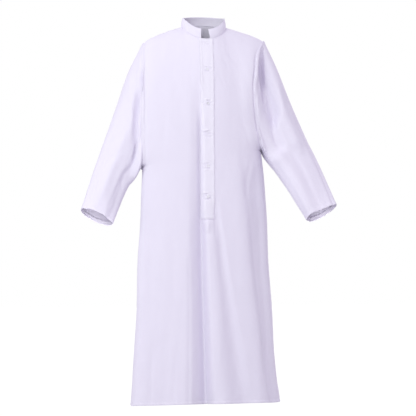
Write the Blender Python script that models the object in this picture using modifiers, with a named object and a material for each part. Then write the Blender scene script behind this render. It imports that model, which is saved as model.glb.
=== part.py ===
"""A cassock: a full-length robe with a stand collar, a half-front placket and long sleeves.

Metres, +Z up. The robe faces -Y, so +X is the wearer's left. The origin is the middle of the
neck opening, level with the neck seam at the shoulders, where the robe is held when it is worn.
"""

import math
from bisect import bisect_right
from collections import namedtuple

import bpy
from mathutils import Vector

# Cloth
CLOTH = 0.0016
COLLAR_CLOTH = 0.0024
SEAM_GAP = 0.0003
SEAM_STRIP = 0.004
NECK_CORNER_GAP = 0.0008

# Lengths, bends in degrees, and shares of a sleeve's length
HEM_HEIGHT = -1.397
HEM_RISE = 0.016
UNDERARM_HEIGHT = -0.394
NECK_SIDE_HEIGHT = 0.010
NECK_HALF_WIDTH = 0.082
NECK_FRONT_DEPTH = 0.078
NECK_BACK_DEPTH = 0.066
NECK_FRONT_HEIGHT = -0.042
NECK_BACK_HEIGHT = 0.024
NECK_CURVE = 1.45
NECK_FRONT_BEND = 50.0
NECK_BACK_BEND = 62.0
SHOULDER_BEND = 88.0
UNDERARM_DROP = -0.45
ARMHOLE_REACH = 0.5
SLEEVE_STEP = 0.02
PLACKET_WIDTH = 0.050
PLACKET_END = -0.7077
PLACKET_DROP = 0.0015
BUTTON_RADIUS = 0.00575
BUTTON_THICKNESS = 0.0026
BUTTON_SIDES = 16
BUTTON_HEIGHTS = (-0.0545, -0.158, -0.284, -0.397, -0.514, -0.6255)

# Rows and columns of cloth
LOWER_ROWS = 20
UPPER_ROWS = 12
SLEEVE_RINGS = 17
COLLAR_ROWS = 3
UNDERARM_ROWS = 4
PLACKET_COLUMN = 6.0
NECK_COLUMN = 26.5
ARMHOLE_COLUMN = 38.0
SHOULDER_COLUMNS = (32.0, 39.0, 47.0, 56.0, 66.0, 78.0, 90.0)
FRONT_HALF = (2.0, PLACKET_COLUMN, 9.5, 13.0, 17.0, 21.5, NECK_COLUMN) + SHOULDER_COLUMNS
BACK_HALF = (6.5, 13.0, 19.5, NECK_COLUMN) + SHOULDER_COLUMNS

# The robe's loop at each height: its reach to the wearer's right and left of the middle, its depth
# in front of and behind the side seams, and its flatness, where 1 is an ellipse and less is flatter.
BodyLevel = namedtuple("BodyLevel", "height right left front back flatness")
BODY_LEVELS = (
    BodyLevel(-1.397, 0.278, 0.291, 0.152, 0.150, 0.86),
    BodyLevel(-1.230, 0.268, 0.272, 0.146, 0.144, 0.84),
    BodyLevel(-1.050, 0.257, 0.260, 0.140, 0.136, 0.82),
    BodyLevel(-0.870, 0.253, 0.246, 0.136, 0.128, 0.80),
    BodyLevel(-0.720, 0.243, 0.240, 0.133, 0.120, 0.78),
    BodyLevel(-0.600, 0.239, 0.232, 0.131, 0.116, 0.78),
    BodyLevel(-0.487, 0.233, 0.220, 0.131, 0.120, 0.78),
    BodyLevel(-0.394, 0.231, 0.209, 0.131, 0.126, 0.78),
)

# The armhole from the underarm, share 0, to the shoulder, share 1: its distance from the middle on
# each side, and how far the front's and the back's edges stand off the line of the side seam.
ArmholePoint = namedtuple("ArmholePoint", "share right left front back")
ARMHOLE = (
    ArmholePoint(0.00, 0.2310, 0.2090, 0.000, 0.000),
    ArmholePoint(0.08, 0.2335, 0.1990, 0.042, 0.042),
    ArmholePoint(0.25, 0.2355, 0.1880, 0.069, 0.072),
    ArmholePoint(0.42, 0.2345, 0.1870, 0.070, 0.078),
    ArmholePoint(0.60, 0.2320, 0.1965, 0.049, 0.060),
    ArmholePoint(0.80, 0.2290, 0.2160, 0.022, 0.030),
    ArmholePoint(1.00, 0.2265, 0.2310, 0.000, 0.000),
)

# The shoulder seam from the neck, share 0, to the armhole, share 1: its height on each side.
ShoulderPoint = namedtuple("ShoulderPoint", "share right left")
SHOULDER = (
    ShoulderPoint(0.00, NECK_SIDE_HEIGHT, NECK_SIDE_HEIGHT),
    ShoulderPoint(0.30, -0.004, -0.002),
    ShoulderPoint(0.60, -0.021, -0.015),
    ShoulderPoint(0.82, -0.035, -0.027),
    ShoulderPoint(1.00, -0.053, -0.041),
)

# Each sleeve from the armhole, share 0, to the cuff, share 1: its outer and its inner edge, and how
# far it is filled out between its front and its back.
SleeveSection = namedtuple("SleeveSection", "share outer inner depth")
LEFT_SLEEVE = (
    SleeveSection(0.00, (0.2370, 0.000, -0.0480), (0.2130, 0.000, -0.3980), 0.150),
    SleeveSection(0.12, (0.2800, 0.000, -0.1463), (0.2165, 0.000, -0.4200), 0.155),
    SleeveSection(0.28, (0.3320, -0.008, -0.2780), (0.2195, -0.004, -0.4450), 0.150),
    SleeveSection(0.46, (0.3850, -0.027, -0.4050), (0.2255, -0.016, -0.4800), 0.138),
    SleeveSection(0.60, (0.4125, -0.042, -0.4650), (0.2649, -0.040, -0.5400), 0.122),
    SleeveSection(0.76, (0.4400, -0.068, -0.5340), (0.3077, -0.075, -0.6005), 0.108),
    SleeveSection(1.00, (0.4783, -0.135, -0.6557), (0.3747, -0.130, -0.7144), 0.082),
)
RIGHT_SLEEVE = (
    SleeveSection(0.00, (-0.2345, 0.000, -0.0600), (-0.2345, 0.000, -0.3980), 0.150),
    SleeveSection(0.12, (-0.2796, 0.000, -0.1538), (-0.2380, 0.000, -0.4250), 0.155),
    SleeveSection(0.28, (-0.3220, -0.008, -0.2810), (-0.2400, -0.006, -0.4620), 0.150),
    SleeveSection(0.46, (-0.3720, -0.028, -0.4180), (-0.2430, -0.020, -0.5130), 0.136),
    SleeveSection(0.60, (-0.3960, -0.045, -0.4820), (-0.2590, -0.045, -0.5600), 0.122),
    SleeveSection(0.76, (-0.4200, -0.072, -0.5490), (-0.2860, -0.070, -0.6015), 0.108),
    SleeveSection(1.00, (-0.4625, -0.135, -0.6711), (-0.3498, -0.130, -0.7272), 0.086),
)

# Folds of the body. Angles go round it in degrees: 0 is the middle of the front and 90 the wearer's
# left side. Widths are in degrees too. Lean makes the side towards the wearer's right wider. Depth is
# how far the cloth moves, outwards for a ridge and inwards for a valley.
Fold = namedtuple("Fold", "top low top_angle low_angle top_width low_width lean top_depth low_depth")
FOLD_FADE = 0.10
BODY_FOLDS = (
    Fold(-0.15, -0.72, -10.5, -9.6, 4.6, 5.6, 0.45, -0.006, -0.017),
    Fold(-0.66, -1.60, -9.0, -2.2, 6.0, 11.0, 0.40, -0.016, -0.038),
    Fold(-0.72, -1.60, 1.5, 7.5, 5.0, 9.0, -0.10, 0.004, 0.012),
    Fold(-0.62, -1.33, 7.8, 24.5, 4.0, 8.0, -0.35, -0.007, -0.012),
    Fold(-0.45, -1.60, 27.0, 49.0, 10.0, 12.0, 0.20, 0.004, 0.009),
    Fold(-0.48, -1.60, 47.0, 69.0, 15.0, 16.0, 0.00, -0.010, -0.014),
    Fold(-0.90, -1.60, -62.0, -56.0, 12.0, 15.0, 0.00, 0.003, 0.008),
    Fold(-1.00, -1.60, -36.0, -38.0, 10.0, 14.0, 0.10, -0.002, -0.006),
    Fold(-0.30, -1.60, 180.0, 181.0, 10.0, 12.0, 0.10, -0.004, -0.018),
    Fold(-0.42, -1.60, 158.0, 152.0, 10.0, 13.0, -0.20, 0.004, 0.014),
    Fold(-0.50, -1.60, 137.0, 129.0, 9.0, 12.0, 0.20, -0.004, -0.016),
    Fold(-0.40, -1.60, 203.0, 209.0, 10.0, 13.0, 0.20, 0.004, 0.014),
    Fold(-0.52, -1.60, 224.0, 232.0, 9.0, 13.0, -0.20, -0.004, -0.017),
    Fold(-0.60, -1.60, 246.0, 253.0, 9.0, 11.0, 0.00, 0.003, 0.009),
    Fold(-0.60, -1.60, 113.0, 108.0, 9.0, 11.0, 0.00, 0.003, 0.008),
)

# Folds of a sleeve, in shares of its length and in degrees round it, where 0 is the seam under the
# arm, 90 the front and 180 the top.
SleeveFold = namedtuple("SleeveFold", "start end start_angle end_angle width depth")
SLEEVE_FADE = 0.10
LEFT_SLEEVE_FOLDS = (
    SleeveFold(-0.10, 0.17, 100.0, 104.0, 50.0, -0.020),
    SleeveFold(0.12, 0.90, 128.0, 112.0, 20.0, 0.006),
    SleeveFold(0.16, 0.86, 96.0, 84.0, 17.0, -0.006),
    SleeveFold(0.30, 1.20, 62.0, 55.0, 18.0, 0.006),
    SleeveFold(0.30, 1.20, 156.0, 146.0, 16.0, -0.005),
    SleeveFold(0.15, 0.80, 268.0, 284.0, 24.0, -0.006),
)
RIGHT_SLEEVE_FOLDS = (
    SleeveFold(-0.10, 0.15, 96.0, 100.0, 44.0, -0.010),
    SleeveFold(0.20, 1.20, 70.0, 62.0, 22.0, -0.006),
    SleeveFold(0.18, 0.95, 112.0, 100.0, 20.0, 0.005),
    SleeveFold(0.35, 1.20, 150.0, 142.0, 18.0, -0.003),
    SleeveFold(0.15, 0.80, 272.0, 262.0, 24.0, -0.006),
)

# The collar's upper edge
COLLAR_TOP_HALF_WIDTH = 0.0765
COLLAR_TOP_FRONT_DEPTH = 0.0705
COLLAR_TOP_BACK_DEPTH = 0.0600
COLLAR_TOP_FRONT_HEIGHT = -0.0065
COLLAR_TOP_SIDE_HEIGHT = 0.0440
COLLAR_TOP_BACK_HEIGHT = 0.0560
COLLAR_BULGE = 0.0015

# The collar's front edges: how far to the wearer's left each is at the neckline and at the top.
CollarEnd = namedtuple("CollarEnd", "low high")
COLLAR_RIGHT_END = CollarEnd(-0.0182, -0.0172)
COLLAR_LEFT_END = CollarEnd(0.0142, 0.0078)

# Half of a button's section, in shares of its radius and of its thickness: a dish inside a raised,
# rounded rim.
ButtonPoint = namedtuple("ButtonPoint", "across up")
BUTTON_SECTION = (
    ButtonPoint(0.00, 0.58),
    ButtonPoint(0.50, 0.60),
    ButtonPoint(0.68, 0.94),
    ButtonPoint(0.84, 1.00),
    ButtonPoint(0.97, 0.72),
    ButtonPoint(1.00, 0.42),
    ButtonPoint(0.80, 0.00),
    ButtonPoint(0.00, 0.00),
)

# Looks
CLOTH_MATERIALS = (
    "front_cloth", "back_cloth", "sleeve_right_cloth", "sleeve_left_cloth", "collar_cloth",
    "placket_cloth",
)
WHITE_CLOTH = (0.83, 0.80, 0.90)
WHITE_BUTTON = (0.88, 0.87, 0.90)
CLOTH_ROUGHNESS = 0.85
BUTTON_ROUGHNESS = 0.35

FRONT = -1
BACK = 1


def clamp(value):
    return min(max(value, 0.0), 1.0)


def ease(value):
    """A smooth step from 0 to 1."""
    value = clamp(value)
    return value * value * (3.0 - 2.0 * value)


def mix(first, second, share):
    return first + (second - first) * share


def read(table, column, place):
    """One column of a table, on a smooth curve through its rows, at a value of the first column."""
    stations = [row[0] for row in table]
    values = [getattr(row, column) for row in table]
    if isinstance(values[0], tuple):
        values = [Vector(value) for value in values]
    index = min(max(bisect_right(stations, place) - 1, 0), len(stations) - 2)
    span = stations[index + 1] - stations[index]
    share = clamp((place - stations[index]) / span)

    def slope(at):
        low, high = max(at - 1, 0), min(at + 1, len(stations) - 1)
        return (values[high] - values[low]) * (span / (stations[high] - stations[low]))

    first, second = values[index], values[index + 1]
    step = ease(share)
    lift = share * (1.0 - share)
    return (
        first + (second - first) * step
        + slope(index) * (lift * (1.0 - share)) - slope(index + 1) * (lift * share)
    )


def fold_offset(angle, height):
    """How far the folds move the body's cloth outwards at one place."""
    total = 0.0
    for fold in BODY_FOLDS:
        share = (fold.top - height) / (fold.top - fold.low)
        if not 0.0 < share < 1.0:
            continue
        centre = mix(fold.top_angle, fold.low_angle, share)
        width = mix(fold.top_width, fold.low_width, share)
        away = (angle - centre + 180.0) % 360.0 - 180.0
        reach = width * (1.0 + math.copysign(fold.lean, -away))
        if abs(away) >= reach:
            continue
        fade = ease((fold.top - height) / FOLD_FADE) * ease((height - fold.low) / FOLD_FADE)
        shape = 0.5 + 0.5 * math.cos(math.pi * away / reach)
        total += mix(fold.top_depth, fold.low_depth, share) * fade * shape
    return total


def body_point(angle, height):
    """A point of the robe's smooth loop at one height, before its folds."""
    turn = math.radians(angle)
    reach = read(BODY_LEVELS, "left" if math.sin(turn) >= 0.0 else "right", height)
    depth = read(BODY_LEVELS, "front" if math.cos(turn) >= 0.0 else "back", height)
    bow = abs(math.cos(turn)) ** read(BODY_LEVELS, "flatness", height)
    return Vector((reach * math.sin(turn), -math.copysign(depth * bow, math.cos(turn)), height))


def column_angle(column, height, face):
    """The angle of a column of cloth: the placket's own columns keep its width at every height."""
    if face == BACK:
        return 180.0 - column
    if abs(column) > PLACKET_COLUMN:
        return column
    reach = read(BODY_LEVELS, "left" if column >= 0.0 else "right", height)
    return math.degrees(math.asin(PLACKET_WIDTH / 2.0 * column / PLACKET_COLUMN / reach))


def neck_point(turn, face):
    """A point of the neckline, from its middle, 0 degrees, to the shoulder seam, 90 degrees."""
    across, along = math.sin(math.radians(turn)), math.cos(math.radians(turn))
    depth = NECK_FRONT_DEPTH if face == FRONT else NECK_BACK_DEPTH
    middle = NECK_FRONT_HEIGHT if face == FRONT else NECK_BACK_HEIGHT
    height = mix(NECK_SIDE_HEIGHT, middle, abs(along) ** NECK_CURVE)
    return Vector((NECK_HALF_WIDTH * across, face * depth * along, height))


def neck_turn(column, face):
    """Where a column of cloth meets the neckline, in degrees from the neckline's middle."""
    if face == BACK:
        return 90.0 * column / NECK_COLUMN
    placket_turn = math.degrees(math.asin(PLACKET_WIDTH / 2.0 / NECK_HALF_WIDTH))
    if abs(column) <= PLACKET_COLUMN:
        share = column / PLACKET_COLUMN * math.sin(math.radians(placket_turn))
        return math.degrees(math.asin(share))
    share = (abs(column) - PLACKET_COLUMN) / (NECK_COLUMN - PLACKET_COLUMN)
    return math.copysign(mix(placket_turn, 90.0, share), column)


def top_point(column, face):
    """Where a column of cloth ends, at the neckline or on the shoulder seam."""
    if abs(column) <= NECK_COLUMN:
        return neck_point(neck_turn(column, face), face)
    share = (abs(column) - NECK_COLUMN) / (90.0 - NECK_COLUMN)
    side = "left" if column > 0.0 else "right"
    across = math.copysign(mix(NECK_HALF_WIDTH, read(ARMHOLE, side, 1.0), share), column)
    return Vector((across, 0.0, read(SHOULDER, side, share)))


def upper_point(column, share, face):
    """A point between the underarm's level, share 0, and the neckline or shoulder seam, share 1."""
    low = body_point(column_angle(column, UNDERARM_HEIGHT, face), UNDERARM_HEIGHT)
    high = top_point(column, face)
    neck_bend = NECK_FRONT_BEND if face == FRONT else NECK_BACK_BEND
    spread = clamp(abs(column) / NECK_COLUMN) ** NECK_CURVE
    bend = math.radians(mix(neck_bend, SHOULDER_BEND, spread))
    rise = math.sin(share * bend) / math.sin(bend)
    lean = (1.0 - math.cos(share * bend)) / (1.0 - math.cos(bend))
    return Vector((
        mix(low.x, high.x, rise),
        mix(low.y, high.y, lean),
        mix(low.z, high.z, rise),
    ))


def armhole_shift(side, share, face):
    """How far the armhole's cut moves the edge of the front or the back."""
    edge = upper_point(90.0 * side, share, face)
    across = side * read(ARMHOLE, "left" if side > 0 else "right", share)
    along = face * read(ARMHOLE, "front" if face == FRONT else "back", share)
    return Vector((across - edge.x, along - edge.y, 0.0))


def folded(point, angle):
    """Moves a point of the body out or in by its folds."""
    turn = math.radians(angle)
    push = fold_offset(angle, point.z)
    return point + Vector((math.sin(turn), -math.cos(turn), 0.0)) * push


def panel_row(columns, row, face):
    """One row of the front or the back, from the wearer's right to left."""
    points = []
    for column in columns:
        if row <= LOWER_ROWS:
            angle = column_angle(column, UNDERARM_HEIGHT, face)
            rise = HEM_RISE * clamp(math.cos(math.radians(angle)))
            height = mix(HEM_HEIGHT + rise, UNDERARM_HEIGHT, row / LOWER_ROWS)
            angle = column_angle(column, height, face)
            point = body_point(angle, height)
        else:
            share = (row - LOWER_ROWS) / UPPER_ROWS
            angle = column_angle(column, UNDERARM_HEIGHT, face)
            weight = ease((abs(column) - ARMHOLE_COLUMN) / (90.0 - ARMHOLE_COLUMN))
            side = 1 if column > 0.0 else -1
            point = upper_point(column, share, face) + armhole_shift(side, share, face) * weight
        points.append(folded(point, angle))
    return points


def add_edge_strips(points, row, face):
    """Puts a narrow strip along both side edges, so that seams meet flat."""
    square_on = ease((row - LOWER_ROWS) / UNDERARM_ROWS)
    strips = []
    for edge, inner in ((points[0], points[1]), (points[-1], points[-2])):
        along = Vector((0.0, face, 0.0))
        across = (inner - edge).normalized()
        strips.append(edge + along.lerp(across, square_on).normalized() * SEAM_STRIP)
    return [points[0], strips[0]] + points[1:-1] + [strips[1], points[-1]]


def body_panel(columns, face):
    """The grid of points of the front or the back, with its rows from the hem up."""
    rows = []
    for row in range(LOWER_ROWS + UPPER_ROWS + 1):
        rows.append(add_edge_strips(panel_row(columns, row, face), row, face))
    neck_first = columns.index(-NECK_COLUMN) + 1
    neck_last = columns.index(NECK_COLUMN) + 1
    strip = []
    for index, point in enumerate(rows[-1]):
        down = (rows[-2][index] - point).normalized()
        if not neck_first < index < neck_last:
            down = Vector((0.0, face, 0.0))
        strip.append(point + down * SEAM_STRIP)
    rows.insert(-1, strip)
    half_gap = Vector((0.0, face * SEAM_GAP / 2.0, 0.0))
    for row in range(LOWER_ROWS + 1):
        rows[row][0] = rows[row][0] + half_gap
        rows[row][-1] = rows[row][-1] + half_gap
    for index in range(len(rows[-1])):
        if not neck_first < index < neck_last:
            rows[-1][index] = rows[-1][index] + half_gap
    for index in (neck_first, neck_last):
        rows[-1][index] = rows[-1][index] + Vector((0.0, face * NECK_CORNER_GAP, 0.0))
    return rows


def armhole_way(panel, side, row):
    """A point of a panel's armhole edge, and the way that the sleeve's cloth leaves it."""
    edge, inner = (panel[row][-1], panel[row][-2]) if side > 0 else (panel[row][0], panel[row][1])
    outward = Vector((side, 0.0, UNDERARM_DROP)).normalized()
    turn = ease((row - LOWER_ROWS) / UNDERARM_ROWS)
    return edge, outward.lerp((edge - inner).normalized(), turn).normalized()


def armhole_loop(front, back, side):
    """The armhole from the underarm, up its front edge and down its back one."""
    rows = range(LOWER_ROWS, len(front))
    front_edge = [armhole_way(front, side, row) for row in rows]
    back_edge = [armhole_way(back, side, row) for row in rows]
    underarm, shoulder = (
        ((first[0] + second[0]) / 2.0, (first[1] + second[1]).normalized())
        for first, second in ((front_edge[0], back_edge[0]), (front_edge[-1], back_edge[-1]))
    )
    return [underarm] + front_edge[1:-1] + [shoulder] + back_edge[-2:0:-1]


def sleeve_ring(table, share, turns, folds):
    """One ring of a sleeve, square to the arm, with its folds."""
    outer, inner = read(table, "outer", share), read(table, "inner", share)
    before, after = max(share - SLEEVE_STEP, 0.0), min(share + SLEEVE_STEP, 1.0)
    along = (read(table, "outer", after) + read(table, "inner", after)
             - read(table, "outer", before) - read(table, "inner", before)).normalized()
    across = outer - inner
    forward = across.cross(along).normalized()
    if forward.y > 0.0:
        forward = -forward
    depth = read(table, "depth", share)
    ring = []
    for turn in turns:
        outward = (-across.normalized() * math.cos(turn) + forward * math.sin(turn)).normalized()
        push = sleeve_fold_offset(folds, share, math.degrees(turn))
        middle = (outer + inner) / 2.0
        place = middle - across / 2.0 * math.cos(turn) + forward * (depth / 2.0 * math.sin(turn))
        ring.append(place + outward * push)
    return ring


def sleeve_fold_offset(folds, share, angle):
    """How far a sleeve's folds move its cloth outwards at one place."""
    total = 0.0
    for fold in folds:
        if not fold.start < share < fold.end:
            continue
        along = (share - fold.start) / (fold.end - fold.start)
        away = (angle - mix(fold.start_angle, fold.end_angle, along) + 180.0) % 360.0 - 180.0
        if abs(away) < fold.width:
            fade = ease((share - fold.start) / SLEEVE_FADE) * ease((fold.end - share) / SLEEVE_FADE)
            total += fold.depth * fade * (0.5 + 0.5 * math.cos(math.pi * away / fold.width))
    return total


def sleeve_grid(front, back, side, table, folds):
    """The grid of a sleeve's points, from the armhole to the cuff."""
    loop = armhole_loop(front, back, side)
    turns = [2.0 * math.pi * index / len(loop) for index in range(len(loop))]
    edge = [point + way * SEAM_GAP for point, way in loop]
    start = [point + way * (SEAM_GAP + SEAM_STRIP) for point, way in loop]
    plain = sleeve_ring(table, 0.0, turns, ())
    rings = [edge]
    for index in range(SLEEVE_RINGS + 1):
        share = index / SLEEVE_RINGS
        ring = sleeve_ring(table, share, turns, folds if index else ())
        keep = 1.0 - ease(share / ARMHOLE_REACH)
        rings.append([place + (first - flat) * keep for place, first, flat in zip(ring, start, plain)])
    return rings


def collar_top(turn, face):
    """A point of the collar's upper edge."""
    across, along = math.sin(math.radians(turn)), math.cos(math.radians(turn))
    depth = COLLAR_TOP_FRONT_DEPTH if face == FRONT else COLLAR_TOP_BACK_DEPTH
    middle = COLLAR_TOP_FRONT_HEIGHT if face == FRONT else COLLAR_TOP_BACK_HEIGHT
    height = mix(COLLAR_TOP_SIDE_HEIGHT, middle, abs(along) ** NECK_CURVE)
    return Vector((COLLAR_TOP_HALF_WIDTH * across, face * depth * along, height))


def collar_end(end, neckline):
    """The collar's front edge on one side: a point on the neckline and one on its upper edge."""
    for first, second in zip(neckline, neckline[1:]):
        if first.x <= end.low <= second.x:
            low = first.lerp(second, (end.low - first.x) / (second.x - first.x))
    return low, collar_top(math.degrees(math.asin(end.high / COLLAR_TOP_HALF_WIDTH)), FRONT)


def collar_grid(front_neck, back_neck):
    """The collar's grid, from its right front end round the back of the neck to its left one."""
    neckline = [point for column, point in front_neck]
    round_front = [(point, collar_top(neck_turn(column, FRONT), FRONT)) for column, point in front_neck]
    round_back = [(point, collar_top(neck_turn(column, BACK), BACK)) for column, point in back_neck]
    right = [pair for pair in round_front if pair[0].x < COLLAR_RIGHT_END.low]
    left = [pair for pair in round_front if pair[0].x > COLLAR_LEFT_END.low]
    stations = [collar_end(COLLAR_RIGHT_END, neckline)] + right[::-1] + round_back[1:-1]
    stations += left[::-1] + [collar_end(COLLAR_LEFT_END, neckline)]
    rows = []
    for row in range(COLLAR_ROWS + 1):
        share = row / COLLAR_ROWS
        points = []
        for low, high in stations:
            bulge = Vector((low.x, low.y, 0.0)).normalized() * COLLAR_BULGE * math.sin(math.pi * share)
            points.append(low.lerp(high, share) + bulge + Vector((0.0, 0.0, SEAM_GAP * (1.0 - share))))
        rows.append(points)
    return rows


def placket_grid(front, columns, normals):
    """The placket's outer points: the front's own points under it, moved out."""
    indices = [columns.index(column) + 1 for column in columns if abs(column) <= PLACKET_COLUMN]
    strips = []
    for index in indices:
        line = [(row[index], normals[number][index]) for number, row in enumerate(front)]
        strip = []
        for (low, low_normal), (high, high_normal) in zip(line, line[1:]):
            if low.z < PLACKET_END <= high.z:
                share = (PLACKET_END - low.z) / (high.z - low.z)
                strip.append((low.lerp(high, share), low_normal.lerp(high_normal, share)))
            if high.z >= PLACKET_END:
                strip.append((high, high_normal))
        last, last_normal = strip[-1]
        strip[-1] = (last + (strip[-2][0] - last).normalized() * PLACKET_DROP, last_normal)
        strips.append(strip)
    lift = SEAM_GAP + CLOTH
    return [[point + normal.normalized() * lift for point, normal in row] for row in zip(*strips)]


def make_material(name, colour, roughness):
    material = bpy.data.materials.new(name)
    material.use_nodes = True
    shader = material.node_tree.nodes["Principled BSDF"]
    shader.inputs["Base Color"].default_value = (*colour, 1.0)
    shader.inputs["Roughness"].default_value = roughness
    shader.inputs["Metallic"].default_value = 0.0
    material.diffuse_color = (*colour, 1.0)
    return material


def add_object(name, mesh, material, collection):
    mesh.materials.append(material)
    mesh.shade_smooth()
    piece = bpy.data.objects.new(name, mesh)
    collection.objects.link(piece)
    return piece


def add_cloth(name, rows, material, collection, thickness=CLOTH, tube=False, flip=False):
    """A sheet of cloth on a grid of points, given its thickness towards the inside."""
    width = len(rows[0])
    faces = []
    for row in range(len(rows) - 1):
        for column in range(width if tube else width - 1):
            after = (column + 1) % width
            face = (
                row * width + column,
                row * width + after,
                (row + 1) * width + after,
                (row + 1) * width + column,
            )
            faces.append(face[::-1] if flip else face)
    mesh = bpy.data.meshes.new(name)
    mesh.from_pydata([tuple(point) for row in rows for point in row], [], faces)
    mesh.update()
    piece = add_object(name, mesh, material, collection)
    wall = piece.modifiers.new("cloth", "SOLIDIFY")
    wall.thickness = thickness
    wall.offset = -1.0
    wall.use_even_offset = True
    wall.use_quality_normals = True
    return piece


def vertex_normals(piece, width):
    """The normals of a sheet's points, in rows."""
    normals = [vertex.normal.copy() for vertex in piece.data.vertices]
    return [normals[start:start + width] for start in range(0, len(normals), width)]


def add_button(name, place, normal, material, collection):
    """A dished button with a rounded rim, lying on the placket."""
    mesh = bpy.data.meshes.new(name)
    points = [
        (BUTTON_RADIUS * point.across, 0.0, BUTTON_THICKNESS * point.up) for point in BUTTON_SECTION
    ]
    mesh.from_pydata(points, [(index, index + 1) for index in range(len(points) - 1)], [])
    piece = add_object(name, mesh, material, collection)
    turned = piece.modifiers.new("turned", "SCREW")
    turned.steps = BUTTON_SIDES
    turned.render_steps = BUTTON_SIDES
    turned.use_merge_vertices = True
    turned.merge_threshold = 0.00001
    turned.use_normal_calculate = True
    piece.location = place + normal * SEAM_GAP
    piece.rotation_euler = normal.to_track_quat("Z", "Y").to_euler()
    return piece


def add_buttons(placket, material, collection):
    """Sets each button on the middle of the placket, at its own height."""
    middle = len(placket[0]) // 2
    for number, height in enumerate(BUTTON_HEIGHTS, 1):
        for low, high in zip(placket, placket[1:]):
            if low[middle].z <= height <= high[middle].z:
                share = (height - low[middle].z) / (high[middle].z - low[middle].z)
                first = low[middle - 1].lerp(high[middle - 1], share)
                second = low[middle].lerp(high[middle], share)
                up = (high[middle] - low[middle]).normalized()
                normal = (second - first).cross(up).normalized()
                add_button(f"button_{number}", (first + second) / 2.0, normal, material, collection)


def signed(half, middle=()):
    return [-column for column in reversed(half)] + list(middle) + list(half)


def neck_points(columns, rows):
    """The neckline's points of a panel, each with its column."""
    return [(column, rows[-1][index + 1]) for index, column in enumerate(columns)
            if abs(column) <= NECK_COLUMN]


def main():
    for piece in list(bpy.data.objects):
        bpy.data.objects.remove(piece, do_unlink=True)
    collection = bpy.data.collections.new("cassock")
    bpy.context.scene.collection.children.link(collection)
    cloth = {name: make_material(name, WHITE_CLOTH, CLOTH_ROUGHNESS) for name in CLOTH_MATERIALS}
    button_white = make_material("button_white", WHITE_BUTTON, BUTTON_ROUGHNESS)

    front_columns, back_columns = signed(FRONT_HALF), signed(BACK_HALF, (0.0,))
    front = body_panel(front_columns, FRONT)
    back = body_panel(back_columns, BACK)
    front_piece = add_cloth("front", front, cloth["front_cloth"], collection)
    add_cloth("back", back, cloth["back_cloth"], collection, flip=True)
    for name, side, table, folds in (
        ("sleeve_right", -1, RIGHT_SLEEVE, RIGHT_SLEEVE_FOLDS),
        ("sleeve_left", 1, LEFT_SLEEVE, LEFT_SLEEVE_FOLDS),
    ):
        rings = sleeve_grid(front, back, side, table, folds)
        add_cloth(name, rings, cloth[name + "_cloth"], collection, tube=True, flip=side > 0)
    collar = collar_grid(neck_points(front_columns, front), neck_points(back_columns, back))
    add_cloth("collar", collar, cloth["collar_cloth"], collection, thickness=COLLAR_CLOTH, flip=True)
    placket = placket_grid(front, front_columns, vertex_normals(front_piece, len(front[0])))
    add_cloth("placket", placket, cloth["placket_cloth"], collection)
    add_buttons(placket, button_white, collection)


main()
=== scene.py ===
"""The looks of the cassock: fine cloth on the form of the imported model, with its seams, turned hems,
stitches, creases and buttons, and a plain pale studio. Metres, +Z up, the robe faces -Y."""

import math
from collections import namedtuple

import bpy
import numpy as np
from mathutils import Matrix, Vector


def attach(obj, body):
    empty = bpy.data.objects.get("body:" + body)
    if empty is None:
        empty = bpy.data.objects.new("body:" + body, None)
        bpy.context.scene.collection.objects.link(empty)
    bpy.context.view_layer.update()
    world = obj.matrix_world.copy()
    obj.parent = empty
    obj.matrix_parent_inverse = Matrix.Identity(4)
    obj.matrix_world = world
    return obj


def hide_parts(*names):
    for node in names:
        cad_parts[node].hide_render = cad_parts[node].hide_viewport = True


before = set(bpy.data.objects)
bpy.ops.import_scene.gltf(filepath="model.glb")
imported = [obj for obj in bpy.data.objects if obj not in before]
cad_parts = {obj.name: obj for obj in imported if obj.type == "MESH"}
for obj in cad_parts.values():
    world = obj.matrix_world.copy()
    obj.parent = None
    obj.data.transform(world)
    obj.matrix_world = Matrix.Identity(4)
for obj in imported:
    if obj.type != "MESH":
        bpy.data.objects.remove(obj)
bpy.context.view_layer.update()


def table(names, *rows):
    """Rows with named columns."""
    return [namedtuple("Row", names)(*row) for row in rows]


# The robe's own sizes. The front and the back are grids: rows go from the hem, 0, by the packed
# model's underarm, 20, to the top, 32, and columns from side to side, -90 to 90.
FRONT, BACK = -1, 1
LOWER_ROWS, UPPER_ROWS, UNDERARM_ROWS = 20, 12, 4
PLACKET_COLUMN, NECK_COLUMN, ARMHOLE_COLUMN = 6.0, 26.5, 24.0
HEM_HEIGHT, HEM_RISE, HEM_FOLD_DROP = -1.397, 0.016, 0.13
UNDERARM_HEIGHT = -0.394
RIGHT_FRONT_SQUARENESS = 0.38
RIGHT_CORNER_ANGLE, RIGHT_CORNER_WIDTH = -68.0, 18.0
RIGHT_CORNER_REACH, RIGHT_CORNER_TRIM = 0.10, 1.05
Opening = namedtuple("Opening", "half_width front_depth back_depth side_height front_height back_height")
NECK = Opening(0.082, 0.078, 0.066, 0.010, -0.042, 0.024)
COLLAR_TOP = Opening(0.0765, 0.0705, 0.0600, 0.0440, -0.0065, 0.0560)
NECK_CURVE = 1.45
NECK_FRONT_BEND, NECK_BACK_BEND, SHOULDER_BEND = 50.0, 62.0, 88.0
PLACKET_WIDTH, PLACKET_END, PLACKET_LIFT = 0.050, -0.7077, 0.0019
BUTTON_HEIGHTS = (-0.0545, -0.158, -0.284, -0.397, -0.514, -0.6255)

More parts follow.
